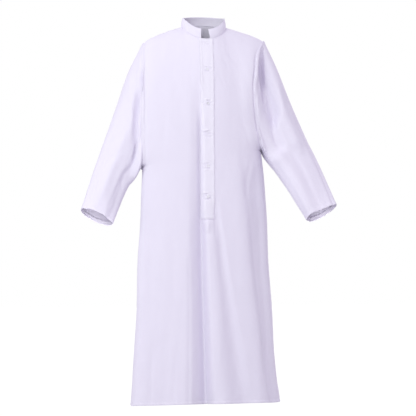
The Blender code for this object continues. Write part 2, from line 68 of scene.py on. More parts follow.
BODY_LEVELS = table(
    "height right left front back flatness",
    (-1.397, 0.278, 0.291, 0.152, 0.150, 0.86),
    (-1.230, 0.268, 0.272, 0.146, 0.144, 0.84),
    (-1.050, 0.257, 0.260, 0.140, 0.136, 0.82),
    (-0.870, 0.253, 0.246, 0.136, 0.128, 0.80),
    (-0.720, 0.243, 0.240, 0.133, 0.120, 0.78),
    (-0.600, 0.239, 0.232, 0.131, 0.116, 0.78),
    (-0.487, 0.233, 0.220, 0.131, 0.120, 0.78),
    (-0.394, 0.231, 0.209, 0.131, 0.126, 0.78),
)

# The armhole's edge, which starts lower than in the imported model: shares run from its lowest point
# to the shoulder seam
ARMHOLE = table(
    "share right left front_right front_left back",
    (0.000, 0.2335, 0.2110, 0.000, 0.000, 0.000),
    (0.015, 0.2335, 0.2082, 0.082, 0.055, 0.013),
    (0.030, 0.2335, 0.2055, 0.093, 0.074, 0.024),
    (0.065, 0.2335, 0.2005, 0.099, 0.085, 0.038),
    (0.110, 0.2340, 0.1945, 0.100, 0.089, 0.048),
    (0.180, 0.2345, 0.1870, 0.100, 0.088, 0.058),
    (0.280, 0.2350, 0.1805, 0.099, 0.093, 0.068),
    (0.380, 0.2350, 0.1800, 0.094, 0.094, 0.074),
    (0.500, 0.2340, 0.1880, 0.084, 0.086, 0.076),
    (0.660, 0.2320, 0.1960, 0.062, 0.064, 0.060),
    (0.830, 0.2290, 0.2150, 0.029, 0.027, 0.030),
    (1.000, 0.2265, 0.2290, 0.000, 0.000, 0.000),
)
ARMHOLE_LOW_RIGHT, ARMHOLE_LOW_LEFT = -0.215, -0.106
ARMHOLE_LEAN_LIMIT = 0.25
ARMHOLE_REACH = 0.13
UNDERARM_DROP = -0.45

SHOULDER = table(
    "share right left",
    (0.00, NECK.side_height, NECK.side_height),
    (0.30, -0.004, -0.002),
    (0.60, -0.021, -0.015),
    (0.82, -0.035, -0.027),
    (1.00, -0.053, -0.041),
)

SLEEVE_COLUMNS = "share outer inner depth"
LEFT_SLEEVE = table(
    SLEEVE_COLUMNS,
    (0.00, (0.2370, 0.000, -0.0480), (0.2150, 0.000, -0.4435), 0.150),
    (0.12, (0.2800, 0.000, -0.1463), (0.2175, 0.000, -0.4490), 0.155),
    (0.28, (0.3320, -0.008, -0.2780), (0.2225, -0.004, -0.4585), 0.150),
    (0.46, (0.3850, -0.027, -0.4050), (0.2350, -0.018, -0.4870), 0.138),
    (0.60, (0.4125, -0.042, -0.4650), (0.2710, -0.040, -0.5370), 0.122),
    (0.76, (0.4400, -0.068, -0.5340), (0.3077, -0.075, -0.6005), 0.108),
    (1.00, (0.4783, -0.135, -0.6557), (0.3747, -0.130, -0.7144), 0.082),
)
RIGHT_SLEEVE = table(
    SLEEVE_COLUMNS,
    (0.00, (-0.2345, 0.000, -0.0600), (-0.2345, 0.000, -0.5080), 0.150),
    (0.12, (-0.2796, 0.000, -0.1538), (-0.2365, 0.000, -0.5130), 0.155),
    (0.28, (-0.3220, -0.008, -0.2810), (-0.2395, -0.006, -0.5190), 0.150),
    (0.46, (-0.3720, -0.028, -0.4180), (-0.2460, -0.022, -0.5310), 0.136),
    (0.60, (-0.3960, -0.045, -0.4820), (-0.2610, -0.045, -0.5590), 0.122),
    (0.76, (-0.4200, -0.072, -0.5490), (-0.2920, -0.070, -0.5995), 0.108),
    (1.00, (-0.4625, -0.135, -0.6711), (-0.3498, -0.130, -0.7272), 0.086),
)

# The main folds of the body, in degrees round it and in metres of height
FOLD_FADE = 0.10
BODY_FOLDS = table(
    "top low top_angle low_angle top_width low_width lean top_depth low_depth",
    (-0.17, -0.76, -7.6, -6.2, 7.4, 8.0, 0.55, -0.003, -0.020),
    (-0.285, -0.76, -7.4, -6.2, 3.4, 3.8, 0.25, -0.009, -0.012),
    (-0.66, -1.60, -6.4, 0.2, 9.0, 12.0, 0.40, -0.024, -0.052),
    (-0.66, -1.60, -6.4, 0.2, 4.0, 5.0, 0.10, -0.009, -0.012),
    (-0.80, -1.60, -17.0, -15.5, 2.4, 3.0, 0.10, -0.0020, -0.0045),
    (-0.70, -1.60, 1.5, 14.0, 7.0, 11.0, 0.00, 0.004, 0.012),
    (-0.62, -1.60, 6.4, 35.0, 3.6, 13.0, 0.15, -0.006, -0.016),
    (-0.45, -1.60, 28.0, 54.0, 14.0, 16.0, 0.25, 0.004, 0.012),
    (-0.50, -1.60, 54.0, 68.0, 22.0, 20.0, -0.20, -0.010, -0.016),
    (-0.52, -1.60, 76.0, 84.0, 14.0, 14.0, 0.00, -0.003, -0.005),
    (-0.90, -1.60, -62.0, -56.0, 12.0, 15.0, 0.00, 0.003, 0.008),
    (-1.00, -1.60, -36.0, -38.0, 10.0, 14.0, 0.10, -0.002, -0.006),
    (-0.30, -1.60, 180.0, 181.0, 10.0, 12.0, 0.10, -0.004, -0.018),
    (-0.42, -1.60, 158.0, 152.0, 10.0, 13.0, -0.20, 0.004, 0.014),
    (-0.50, -1.60, 137.0, 129.0, 9.0, 12.0, 0.20, -0.004, -0.016),
    (-0.40, -1.60, 203.0, 209.0, 10.0, 13.0, 0.20, 0.004, 0.014),
    (-0.52, -1.60, 224.0, 232.0, 9.0, 13.0, -0.20, -0.004, -0.017),
    (-0.60, -1.60, 246.0, 253.0, 9.0, 11.0, 0.00, 0.003, 0.009),
    (-0.60, -1.60, 113.0, 108.0, 9.0, 11.0, 0.00, 0.003, 0.008),
)

# The main folds of each sleeve, in shares of its length and in degrees round it
SLEEVE_FADE = 0.10
SLEEVE_FOLD_COLUMNS = "start end start_angle end_angle width depth"
LEFT_SLEEVE_FOLDS = table(
    SLEEVE_FOLD_COLUMNS,
    (-0.06, 0.30, 108.0, 84.0, 43.0, -0.032),
    (-0.05, 0.52, 88.0, 66.0, 32.0, -0.012),
    (0.45, 1.30, 46.0, 46.0, 56.0, 0.022),
    (0.12, 0.62, 128.0, 116.0, 20.0, 0.006),
    (0.45, 1.30, 122.0, 114.0, 42.0, -0.007),
    (0.45, 1.10, 88.0, 80.0, 17.0, -0.005),
    (0.30, 1.20, 62.0, 55.0, 18.0, 0.006),
    (0.30, 1.20, 156.0, 146.0, 16.0, -0.005),
    (0.15, 0.80, 268.0, 284.0, 24.0, -0.006),
)
RIGHT_SLEEVE_FOLDS = table(
    SLEEVE_FOLD_COLUMNS,
    (0.00, 0.20, 96.0, 100.0, 44.0, -0.003),
    (0.30, 1.20, 52.0, 46.0, 26.0, -0.006),
    (0.18, 0.95, 112.0, 100.0, 20.0, 0.005),
    (0.35, 1.20, 150.0, 142.0, 18.0, -0.003),
    (0.15, 0.80, 272.0, 262.0, 24.0, -0.006),
)

# Creases, from one end to the other: those of the body in metres round the cloth from its middle and
# in metres of height, those of a sleeve in degrees round it and in shares of its length. Bow is how
# far the middle of one bends sideways. Depth is outwards.
CREASE_COLUMNS = "across along across_end along_end bow width depth"
FRONT_CREASES = table(
    CREASE_COLUMNS,
    (0.060, -0.105, 0.115, -0.165, 0.004, 0.0090, -0.0013),
    (0.090, -0.095, 0.150, -0.150, 0.005, 0.0080, 0.0012),
    (0.045, -0.150, 0.075, -0.225, -0.003, 0.0070, -0.0010),
    (0.120, -0.330, 0.165, -0.450, 0.006, 0.0100, -0.0016),
    (0.175, -0.470, 0.150, -0.640, -0.006, 0.0110, -0.0018),
    (-0.150, -0.080, -0.210, -0.130, 0.004, 0.0110, -0.0010),
    (0.000, -0.708, -0.002, -0.762, 0.0, 0.0090, 0.0050),
    (-0.030, -0.7130, 0.026, -0.7110, 0.0, 0.0042, -0.0042),
    (0.021, -0.640, 0.028, -0.800, 0.002, 0.0050, -0.0026),
    (-0.240, -1.150, -0.236, -1.420, 0.0, 0.0090, -0.0018),
    (-0.150, -1.180, -0.152, -1.420, 0.0, 0.0080, -0.0012),
    (0.270, -1.120, 0.290, -1.420, 0.0, 0.0100, -0.0022),
)
BACK_CREASES = table(
    CREASE_COLUMNS,
    (-0.190, -0.230, -0.120, -0.420, 0.012, 0.0130, -0.0050),
    (0.190, -0.220, 0.128, -0.400, -0.012, 0.0130, -0.0048),
    (-0.215, -0.330, -0.165, -0.520, 0.008, 0.0110, -0.0034),
    (0.205, -0.320, 0.170, -0.500, -0.008, 0.0110, -0.0036),
    (-0.070, -0.060, -0.100, -0.230, 0.006, 0.0100, -0.0018),
    (0.072, -0.060, 0.104, -0.240, -0.006, 0.0100, -0.0016),
    (-0.240, -1.150, -0.236, -1.420, 0.0, 0.0090, -0.0018),
    (0.200, -1.180, 0.204, -1.420, 0.0, 0.0080, -0.0014),
)
LEFT_SLEEVE_CREASES = table(
    CREASE_COLUMNS,
    (172.0, 0.00, 112.0, 0.20, 0.0, 0.0075, -0.022),
    (146.0, 0.02, 102.0, 0.23, 0.0, 0.0090, -0.009),
    (110.0, 0.30, 92.0, 0.62, 0.006, 0.0110, -0.0022),
    (134.0, 0.22, 122.0, 0.58, -0.008, 0.0090, -0.0020),
    (66.0, 0.55, 74.0, 0.93, 0.005, 0.0100, -0.0024),
    (250.0, 0.02, 282.0, 0.30, 0.010, 0.0120, -0.0060),
    (228.0, 0.10, 246.0, 0.46, 0.008, 0.0110, -0.0036),
)
RIGHT_SLEEVE_CREASES = table(
    CREASE_COLUMNS,
    (134.0, -0.16, 118.0, 0.34, 0.0, 0.0170, -0.0180),
    (122.0, 0.15, 88.0, 0.50, 0.0, 0.0220, -0.0110),
    (80.0, 0.48, 42.0, 0.70, 0.0, 0.0160, -0.0060),
    (140.0, 0.34, 128.0, 0.78, 0.006, 0.0100, -0.0016),
    (58.0, 0.60, 66.0, 0.95, 0.005, 0.0100, -0.0020),
    (252.0, 0.02, 284.0, 0.28, 0.010, 0.0120, -0.0055),
    (230.0, 0.12, 244.0, 0.50, 0.008, 0.0110, -0.0034),
)
CREASE_GIRTH = 0.5
CREASE_END = 0.8

# How fine the cloth is laid out, in degrees, rows and shares of a sleeve
FRONT_COLUMN_STEP, BACK_COLUMN_STEP = 1.0, 1.25
FRONT_ROW_STEP, BACK_ROW_STEP, UPPER_ROW_STEP = 0.085, 0.11, 0.14
SEAM_COLUMNS = (88.9, 89.4, 89.7, 89.88)
HEM_ROWS = (0.0, 0.02, 0.05, 0.09, 0.13, 0.17, 0.195, 0.21, 0.23, 0.27)
TOP_ROWS = (31.70, 31.80, 31.87, 31.92, 31.95, 31.98, 32.0)
SLEEVE_TURNS, SLEEVE_RINGS, SLEEVE_STEP = 200, 170, 0.02
SEAM_WAY, SEAM_START = (0.0, 0.0010, 0.0020, 0.0032), 0.0043
UNDERARM_EASING, EDGE_HOLD = 9, 4.0
RELAXING, RELAXED_FOOT, RELAXED_HOLD = 60, -0.42, 0.75
SLEEVE_RELAXING, PLACKET_RELAXING = 8, 12
COLLAR_STEPS, COLLAR_STEP, COLLAR_ROWS = 120, 0.0022, 22
PLACKET_STEPS, PLACKET_ROWS = 27, 350
PLACKET_EDGE, PLACKET_EDGE_REACH, PLACKET_EDGE_ROWS = (0.0, 0.0003, 0.0008, 0.0016), 0.0026, 0.05

# Sewing: a hem's depth, where it swells and how far, and how far its puckers reach
Hem = namedtuple("Hem", "depth swell_place swell_reach pucker_reach")
SKIRT_HEM = Hem(0.0105, 0.0045, 0.0040, 0.009)
CUFF_HEM = Hem(0.0125, 0.0050, 0.0045, 0.008)
HEM_SWELL, HEM_PUCKER, HEM_WAVE = 0.0009, 0.0005, 0.0022
TURNED_GAP = 0.0016
# The fold of a hem: shares of the gap inwards and down, and how far back the cloth's own length is
HEM_TURN = ((1.0, 0.15, 0.0012), (0.5, 0.45, 0.0008), (0.12, 0.25, 0.0004))
STITCH_LENGTH, STITCH_GAP, THREAD_RADIUS, STITCH_TROUGH = 0.0026, 0.0007, 0.00021, 0.00035
# A stitch from end to end: share of its length, rise over the cloth and share of the thread's radius
STITCH_SECTIONS = (
    (0.0, -0.00022, 0.55), (0.16, 0.00010, 1.0), (0.5, 0.00017, 1.0), (0.84, 0.00010, 1.0),
    (1.0, -0.00022, 0.55),
)
SEAM_DITCH, SEAM_PUCKER = 0.0011, 0.00045
SEAM_DITCH_WIDTH, SEAM_RIDGE, SEAM_RIDGE_PLACE, SEAM_RIDGE_WIDTH = 0.0019, 0.55, 0.0055, 0.0030
# Gathers along a line of stitches: how far apart the large and the small ones are
PUCKER_SIZES, STITCH_TROUGH_WIDTH = (0.0085, 0.0042), 0.0013
SEAM_ALLOWANCE, SEAM_ALLOWANCE_SINK = 0.0040, 0.0015
ARMHOLE_ROLL_LEFT, ARMHOLE_ROLL_RIGHT, ARMHOLE_ROLL_LEFT_FOOT = 0.0026, 0.0014, -0.23
ARMHOLE_TROUGH_LEFT, ARMHOLE_TROUGH_RIGHT = 0.0048, 0.0010
ARMHOLE_FOOT_LEFT, ARMHOLE_FOOT_RIGHT = -0.545, -0.580
ARMHOLE_ROLL_WIDTH, ARMHOLE_TROUGH_WIDTH = 0.0030, 0.0038
ARMHOLE_TROUGH_PLACE, ARMHOLE_TROUGH_LOW_PLACE = 0.0085, 0.0035
SLEEVE_HEAD_PUCKER, SLEEVE_SLACK = 0.0009, 0.0010
SLACK, BLOTCH = 0.0012, 0.0005
# The collar's two edges: the loop that each follows, and where its right and left ends stand on it
COLLAR_EDGES = ((NECK, -12.8, 10.0), (COLLAR_TOP, -13.0, 5.9))
COLLAR_BULGE, COLLAR_RIM, COLLAR_PUCKER, COLLAR_WAVE = 0.0015, 0.0007, 0.00035, 0.0006
COLLAR_STITCH_INSET, COLLAR_SEAM_INSET, COLLAR_SEAM_DITCH = 0.0028, 0.0035, 0.0012
COLLAR_THICKNESS, COLLAR_EDGE_ROUND = 0.0022, 0.0006
PLACKET_STITCH_INSET, PLACKET_END_STITCHES = 0.0030, (0.0025, 0.0125)
PLACKET_PUCKER, PLACKET_ROLL, PLACKET_WAVE, PLACKET_ROUND = 0.0006, 0.0016, 0.0006, 0.0018

# Buttons. The profile is a half section in shares of the radius and the thickness: a dish inside a
# rounded rim. The creases run beside each button.
BUTTON_RADIUS, BUTTON_THICKNESS, BUTTON_SIDES, BUTTON_SEAT = 0.00575, 0.0026, 48, 0.0009
BUTTON_PROFILE = (
    (0.00, 0.50), (0.40, 0.50), (0.56, 0.55), (0.65, 0.78), (0.75, 0.97), (0.85, 1.00),
    (0.95, 0.86), (1.00, 0.60), (0.98, 0.34), (0.88, 0.12), (0.70, 0.00), (0.00, 0.00),
)
BUTTON_HOLE_PLACE, BUTTON_HOLE_RADIUS = 0.00120, 0.00062
BUTTON_THREAD_RADIUS = 0.00036
BUTTON_PULL_TOP, BUTTON_PULL_LOW, BUTTON_PUCKER, BUTTON_DENT = 1.0, 2.2, 0.0030, 0.0009
BUTTON_CREASE_WIDTH = 0.0028
BUTTON_CREASES = table(
    "tilt rise depth",
    (0.34, 0.0075, -0.0019), (-0.22, -0.0078, -0.0021), (0.12, 0.0, -0.0016), (-0.10, 0.0125, 0.0012),
)
BUTTONHOLE_LENGTH, BUTTONHOLE_WIDTH, BUTTONHOLE_THREAD, BUTTONHOLE_STEPS = 0.0150, 0.0017, 0.00055, 56

# Colours, lights and camera
WEAVE_SCALE = (320.0, 320.0)
WHITE_CLOTH, PLACKET_CLOTH = (0.80, 0.765, 0.875), (0.83, 0.80, 0.895)
WHITE_THREAD, WHITE_BUTTON = (0.84, 0.81, 0.90), (0.86, 0.85, 0.90)
FILL_COLOUR, FILL_STRENGTH = (0.938, 0.889, 1.0), 0.882
FLOOR_SIZE, FLOOR_HEIGHT, FLOOR_COLOUR, FLOOR_GLOW = 14.0, -1.56, (0.60, 0.60, 0.62), 1.05
LIGHTS = table(
    "name place target size power colour opening",
    ("key", (-2.0, -2.6, 1.15), (0.0, 0.0, -0.45), 1.5, 40.0, (0.89, 1.0, 0.87), 180.0),
    ("low_fill", (-0.6, -3.4, -0.75), (0.0, 0.0, -0.6), 1.4, 8.0, (1.0, 1.0, 1.0), 180.0),
    ("cuff_fill_right", (-0.46, -1.00, -1.48), (-0.402, -0.12, -0.725), 0.10, 0.022, (1.0, 1.0, 1.0), 5.0),
    ("cuff_fill_left", (0.46, -1.00, -1.48), (0.424, -0.12, -0.715), 0.10, 0.022, (1.0, 1.0, 1.0), 5.0),
    ("side_fill", (-3.6, -1.6, 0.1), (0.0, 0.0, -0.4), 1.6, 8.0, (1.0, 1.0, 1.0), 180.0),
    ("back_fill", (1.5, 3.2, 0.8), (0.0, 0.0, -0.7), 2.2, 28.0, (0.98, 1.0, 0.96), 180.0),
)
CAMERA_DISTANCE, CAMERA_FIELD, CAMERA_TURN = 5.0, 1.56, 7.5
CAMERA_SHIFT, CAMERA_HEIGHT = 0.016875, -0.6675

# Each sheet's cut: its flat width and length and its area, in metres, and what it is sewn to
BODY_CLOTHS = ("front_cloth", "back_cloth")
CUTS = table(
    "name width length area sewn_to sewing",
    ("front", 0.815, 1.455, 0.870, (), "front_hem_stitches"),
    ("back", 0.740, 1.440, 0.823, (), "back_hem_stitches"),
    ("sleeve_right", 0.860, 0.690, 0.226, BODY_CLOTHS, "sleeve_right_cuff_stitches"),
    ("sleeve_left", 0.860, 0.690, 0.280, BODY_CLOTHS, "sleeve_left_cuff_stitches"),
    ("collar", 0.475, 0.036, 0.0155, BODY_CLOTHS, "collar_stitches"),
    ("placket", 0.050, 0.680, 0.034, ("front_cloth",), "placket_stitches"),
)


def clamp(value):
    return np.clip(value, 0.0, 1.0)


def ease(value):
    """A smooth step from 0 to 1."""
    value = clamp(value)
    return value * value * (3.0 - 2.0 * value)


def mix(first, second, share):
    return first + (second - first) * share


def bell(away, width):
    """1 at nothing away, falling smoothly to almost 0 at twice the width."""
    return np.exp(-(away / width) ** 2)


def faded(place, low, high, reach):
    """1 between two ends, falling smoothly to 0 at each."""
    return ease((high - place) / reach) * ease((place - low) / reach)


def wrapped(angle):
    """An angle between -180 and 180 degrees."""
    return (angle + 180.0) % 360.0 - 180.0


def spread(values):
    """A last axis of one, so that a field of numbers scales a field of points."""
    return np.asarray(values)[..., None]


def unit(vectors):
    return vectors / np.maximum(np.linalg.norm(vectors, axis=-1, keepdims=True), 1e-9)


def read(rows, column, place):
    """One column of a table, on a smooth curve through its rows, at values of the first column."""
    stations = np.array([row[0] for row in rows])
    values = np.array([getattr(row, column) for row in rows])
    low = np.maximum(np.arange(len(stations)) - 1, 0)
    high = np.minimum(np.arange(len(stations)) + 1, len(stations) - 1)
    run = stations[high] - stations[low]
    slopes = (values[high] - values[low]) / (run if values.ndim == 1 else spread(run))
    place = np.asarray(place, dtype=float)
    index = np.clip(np.searchsorted(stations, place, side="right") - 1, 0, len(stations) - 2)
    span = stations[index + 1] - stations[index]
    share = clamp((place - stations[index]) / span)
    if values.ndim > 1:
        span, share = spread(span), spread(share)
    bend = span * share * (1.0 - share) * (slopes[index] * (1.0 - share) - slopes[index + 1] * share)
    return mix(values[index], values[index + 1], ease(share)) + bend


def read_side(rows, place, first, names=("left", "right")):
    """One column of a table where first holds and another elsewhere."""
    return np.where(first, *(read(rows, name, place) for name in names))


def uneven(across, along, size_across, size_along, seed):
    """A smooth uneven field between -1 and 1, with patches of the given size."""
    lattice = np.random.default_rng(seed).uniform(-1.0, 1.0, (128, 128))
    x, y = across / size_across + 40.0, along / size_along + 40.0
    column, row = np.floor(x).astype(int), np.floor(y).astype(int)
    right, up = ease(x - column), ease(y - row)
    column, row, after, above = column % 128, row % 128, (column + 1) % 128, (row + 1) % 128
    low = mix(lattice[row, column], lattice[row, after], right)
    high = mix(lattice[above, column], lattice[above, after], right)
    return mix(low, high, up)


def fold_shape(away, reach):
    """A fold's section: 1 in its middle and 0 from its reach on."""
    return np.where(np.abs(away) < reach, 0.5 + 0.5 * np.cos(np.pi * away / reach), 0.0)


def fold_offset(angle, height):
    """How far the main folds move the body's cloth outwards."""
    total = np.zeros_like(angle)
    for fold in BODY_FOLDS:
        share = (fold.top - height) / (fold.top - fold.low)
        away = wrapped(angle - mix(fold.top_angle, fold.low_angle, share))
        reach = mix(fold.top_width, fold.low_width, share) * (1.0 + np.copysign(fold.lean, -away))
        depth = mix(fold.top_depth, fold.low_depth, share) * faded(height, fold.low, fold.top, FOLD_FADE)
        total += depth * fold_shape(away, reach)
    return total


def body_point(angle, height):
    """The robe's smooth loop at each height, before its folds."""
    across, along = np.sin(np.radians(angle)), np.cos(np.radians(angle))
    reach = read_side(BODY_LEVELS, height, across >= 0.0)
    depth = read_side(BODY_LEVELS, height, along >= 0.0, ("front", "back"))
    squarer = ease(-across * 1.6) * ease(along * 6.0) * RIGHT_FRONT_SQUARENESS
    bow = np.abs(along) ** (read(BODY_LEVELS, "flatness", height) - squarer)
    corner = 1.0 + RIGHT_CORNER_REACH * bell(wrapped(angle - RIGHT_CORNER_ANGLE), RIGHT_CORNER_WIDTH)
    reach = reach * mix(1.0, corner / RIGHT_CORNER_TRIM, ease(-across * 2.5) * ease(along * 2.0 + 1.0))
    return np.stack([reach * across, -np.copysign(depth * bow, along), height], axis=-1)


def placket_share(column):
    """A column's place across the placket, from -1 at its right edge to 1 at its left one."""
    return np.clip(column, -PLACKET_COLUMN, PLACKET_COLUMN) / PLACKET_COLUMN


def column_angle(column, height, face):
    """The angle of a column of cloth: the placket's own columns keep its width at every height."""
    if face == BACK:
        return 180.0 - column
    reach = read_side(BODY_LEVELS, height, column >= 0.0)
    under_placket = np.degrees(np.arcsin(PLACKET_WIDTH / 2.0 * placket_share(column) / reach))
    return np.where(np.abs(column) > PLACKET_COLUMN, column, under_placket)


def opening_point(opening, turn, face):
    """The neckline or the collar's top, from its middle, 0 degrees, to its side, 90 degrees."""
    across, along = np.sin(np.radians(turn)), np.cos(np.radians(turn))
    depth = np.where(face == FRONT, opening.front_depth, opening.back_depth)
    middle = np.where(face == FRONT, opening.front_height, opening.back_height)
    height = mix(opening.side_height, middle, np.abs(along) ** NECK_CURVE)
    return np.stack([opening.half_width * across, face * depth * along, height], axis=-1)


def neck_turn(column, face):
    """Where a column of cloth meets the neckline, in degrees from the neckline's middle."""
    if face == BACK:
        return 90.0 * column / NECK_COLUMN
    edge = PLACKET_WIDTH / 2.0 / NECK.half_width
    share = (np.abs(column) - PLACKET_COLUMN) / (NECK_COLUMN - PLACKET_COLUMN)
    outside = np.copysign(mix(np.degrees(np.arcsin(edge)), 90.0, share), column)
    inside = np.degrees(np.arcsin(edge * placket_share(column)))
    return np.where(np.abs(column) <= PLACKET_COLUMN, inside, outside)


def top_point(column, face):
    """Where a column of cloth ends, at the neckline or on the shoulder seam."""
    at_neck = opening_point(NECK, neck_turn(np.clip(column, -NECK_COLUMN, NECK_COLUMN), face), face)
    share = clamp((np.abs(column) - NECK_COLUMN) / (90.0 - NECK_COLUMN))
    left = column > 0.0
    across = np.copysign(mix(NECK.half_width, read_side(ARMHOLE, 1.0, left), share), column)
    on_shoulder = np.stack([across, np.zeros_like(across), read_side(SHOULDER, share, left)], axis=-1)
    return np.where(spread(np.abs(column) <= NECK_COLUMN), at_neck, on_shoulder)


def upper_point(column, low_column, share, face):
    """From the underarm's level, share 0, to the neckline or the shoulder seam, share 1."""
    level = np.full_like(column, UNDERARM_HEIGHT)
    low = body_point(column_angle(low_column, level, face), level)
    neck_bend = NECK_FRONT_BEND if face == FRONT else NECK_BACK_BEND
    side = clamp(np.abs(column) / NECK_COLUMN) ** NECK_CURVE
    bend = np.radians(mix(neck_bend, SHOULDER_BEND, side))
    rise = np.sin(share * bend) / np.sin(bend)
    lean = (1.0 - np.cos(share * bend)) / (1.0 - np.cos(bend))
    return mix(low, top_point(column, face), np.stack([rise, lean, rise], axis=-1))


def armhole_angles(rows, face):
    """The column of the robe's smooth loop where the armhole's edge runs, on the right and the left."""
    share = (rows - LOWER_ROWS) / UPPER_ROWS
    level = mix(HEM_HEIGHT, UNDERARM_HEIGHT, clamp(rows / LOWER_ROWS))
    bend = math.radians(SHOULDER_BEND)
    lean = (1.0 - np.cos(clamp(share) * bend)) / (1.0 - math.cos(bend))
    trial = np.linspace(0.0, 90.0, 181)
    found = []
    for side, low, name in ((-1.0, ARMHOLE_LOW_RIGHT, "front_right"), (1.0, ARMHOLE_LOW_LEFT, "front_left")):
        edge = read(ARMHOLE, name if face == FRONT else "back", clamp((share - low) / (1.0 - low)))
        wanted = edge / np.maximum(1.0 - lean, ARMHOLE_LEAN_LIMIT)
        angles = []
        for height, depth in zip(level, wanted):
            heights = np.full_like(trial, height)
            loop = np.abs(body_point(column_angle(trial * side, heights, face), heights)[:, 1])
            angles.append(np.interp(-depth, -loop, trial))
        found.append(np.array(angles))
    return found


def armhole_shift(column, edge_column, share, face, height):
    """How far the armhole's edge is off the robe's smooth form, for the columns of its side."""
    left = column > 0.0
    side = np.where(left, 1.0, -1.0)
    low = np.where(left, ARMHOLE_LOW_LEFT, ARMHOLE_LOW_RIGHT)
    place = clamp((share - low) / (1.0 - low))
    below = body_point(column_angle(edge_column * side, height, face), height)
    above = upper_point(90.0 * side, edge_column * side, clamp(share), face)
    edge = np.where(spread(share > 0.0), above, below)
    front = read_side(ARMHOLE, place, left, ("front_left", "front_right"))
    along = -front if face == FRONT else read(ARMHOLE, "back", place)
    shift = np.zeros_like(edge)
    shift[..., 0] = side * read_side(ARMHOLE, place, left) - edge[..., 0]
    shift[..., 1] = along - edge[..., 1]
    return shift * spread(share > low)


def closed(points, count=1):
    """A grid of rings with each ring's ends repeated beside it."""
    return np.pad(points, ((0, 0), (count, count), (0, 0)), mode="wrap")


def relax(points, times, ring=False):
    """Evens out a grid of points and leaves its edges where they are."""
    points = points.copy()
    for _ in range(times):
        wide = closed(points) if ring else points
        around = wide[2:, 1:-1] + wide[:-2, 1:-1] + wide[1:-1, 2:] + wide[1:-1, :-2]
        inner = points[1:-1] if ring else points[1:-1, 1:-1]
        inner += 0.5 * (around / 4.0 - inner)
    return points


def normals_of(points, ring=False):
    """The outward normals of a grid whose rows run along it and whose columns run round it."""
    side = np.gradient(closed(points), axis=1)[:, 1:-1] if ring else np.gradient(points, axis=1)
    return unit(np.cross(side, np.gradient(points, axis=0)))


def lengths(points, axis):
    """How far each point of a grid is along its row or its column, in metres."""
    steps = np.linalg.norm(np.diff(points, axis=axis), axis=-1)
    pad = [(0, 0), (0, 0)]
    pad[axis] = (1, 0)
    return np.cumsum(np.pad(steps, pad), axis=axis)


def reach_of(line):
    """How far each point of a line is along it."""
    return lengths(line[None], 1)[0]


def evened_rows(values):
    """Values down a grid's rows, each with its neighbours' mixed in."""
    kernel = np.hanning(2 * UNDERARM_EASING + 3)[1:-1]
    edges = [(UNDERARM_EASING, UNDERARM_EASING)] + [(0, 0)] * (values.ndim - 1)
    padded = np.pad(values, edges, mode="edge")
    parts = [share * padded[index:index + len(values)] for index, share in enumerate(kernel / kernel.sum())]
    return np.sum(parts, axis=0)


def body_form(columns, rows, face):
    """The smooth form of the front or the back on a grid, with its main folds."""
    column, row = np.meshgrid(columns, rows)
    share = (row - LOWER_ROWS) / UPPER_ROWS
    weight = ease((np.abs(column) - ARMHOLE_COLUMN) / (90.0 - ARMHOLE_COLUMN))
    held = weight ** EDGE_HOLD
    right, left = armhole_angles(rows, face)
    edge_column = np.where(column > 0.0, left[:, None], right[:, None])
    squeeze = mix(evened_rows(90.0 - edge_column), 90.0 - edge_column, held)
    low_column = column - np.copysign(squeeze * weight, column)
    angle = column_angle(low_column, np.full_like(column, UNDERARM_HEIGHT), face)
    rise = HEM_RISE * clamp(np.cos(np.radians(angle)))
    height = mix(HEM_HEIGHT + rise, UNDERARM_HEIGHT, clamp(row / LOWER_ROWS))
    low_angle = column_angle(low_column, height, face)
    is_low = row <= LOWER_ROWS
    above = upper_point(column, low_column, clamp(share), face)
    points = np.where(spread(is_low), body_point(low_angle, height), above)
    shift = armhole_shift(column, edge_column, share, face, height)
    points = points + mix(evened_rows(shift), shift, spread(held)) * spread(weight)
    firm = RELAXED_HOLD * ease((RELAXED_FOOT - points[..., 2]) / 0.05)
    points = mix(relax(points, RELAXING), points, spread(firm))
    angle = np.where(is_low, low_angle, angle)
    drop = HEM_FOLD_DROP * ease(1.0 - row / LOWER_ROWS)
    outward = np.stack([np.sin(np.radians(angle)), -np.cos(np.radians(angle)), drop], axis=-1)
    return points + outward * spread(fold_offset(angle, points[..., 2]))


def resampled(points, places, wanted, axis):
    """A grid's points at other places along one of its axes."""
    places, wanted = np.asarray(places), np.asarray(wanted)
    index = np.clip(np.searchsorted(places, wanted, side="right") - 1, 0, len(places) - 2)
    share = (wanted - places[index]) / (places[index + 1] - places[index])
    shape = [1] * points.ndim
    shape[axis] = -1
    return mix(np.take(points, index, axis), np.take(points, index + 1, axis), share.reshape(shape))


def body_sheet(face, column_step, row_step):
    """The front or the back: its points, and its columns and its rows."""
    columns = np.linspace(-90.0, 90.0, round(180.0 / column_step) + 1)
    lower = np.linspace(0.0, LOWER_ROWS, round(LOWER_ROWS / row_step) + 1)
    upper = np.linspace(LOWER_ROWS, LOWER_ROWS + UPPER_ROWS, round(UPPER_ROWS / UPPER_ROW_STEP) + 1)
    rows = np.concatenate([lower, upper[1:]])
    seams = np.array(SEAM_COLUMNS)
    fine_columns = np.unique(np.concatenate([columns, seams, -seams]))
    inside = rows[(rows > HEM_ROWS[-1]) & (rows < TOP_ROWS[0])]
    fine_rows = np.concatenate([HEM_ROWS, inside, TOP_ROWS])
    points = resampled(body_form(columns, rows, face), columns, fine_columns, 1)
    return resampled(points, rows, fine_rows, 0), fine_columns, fine_rows


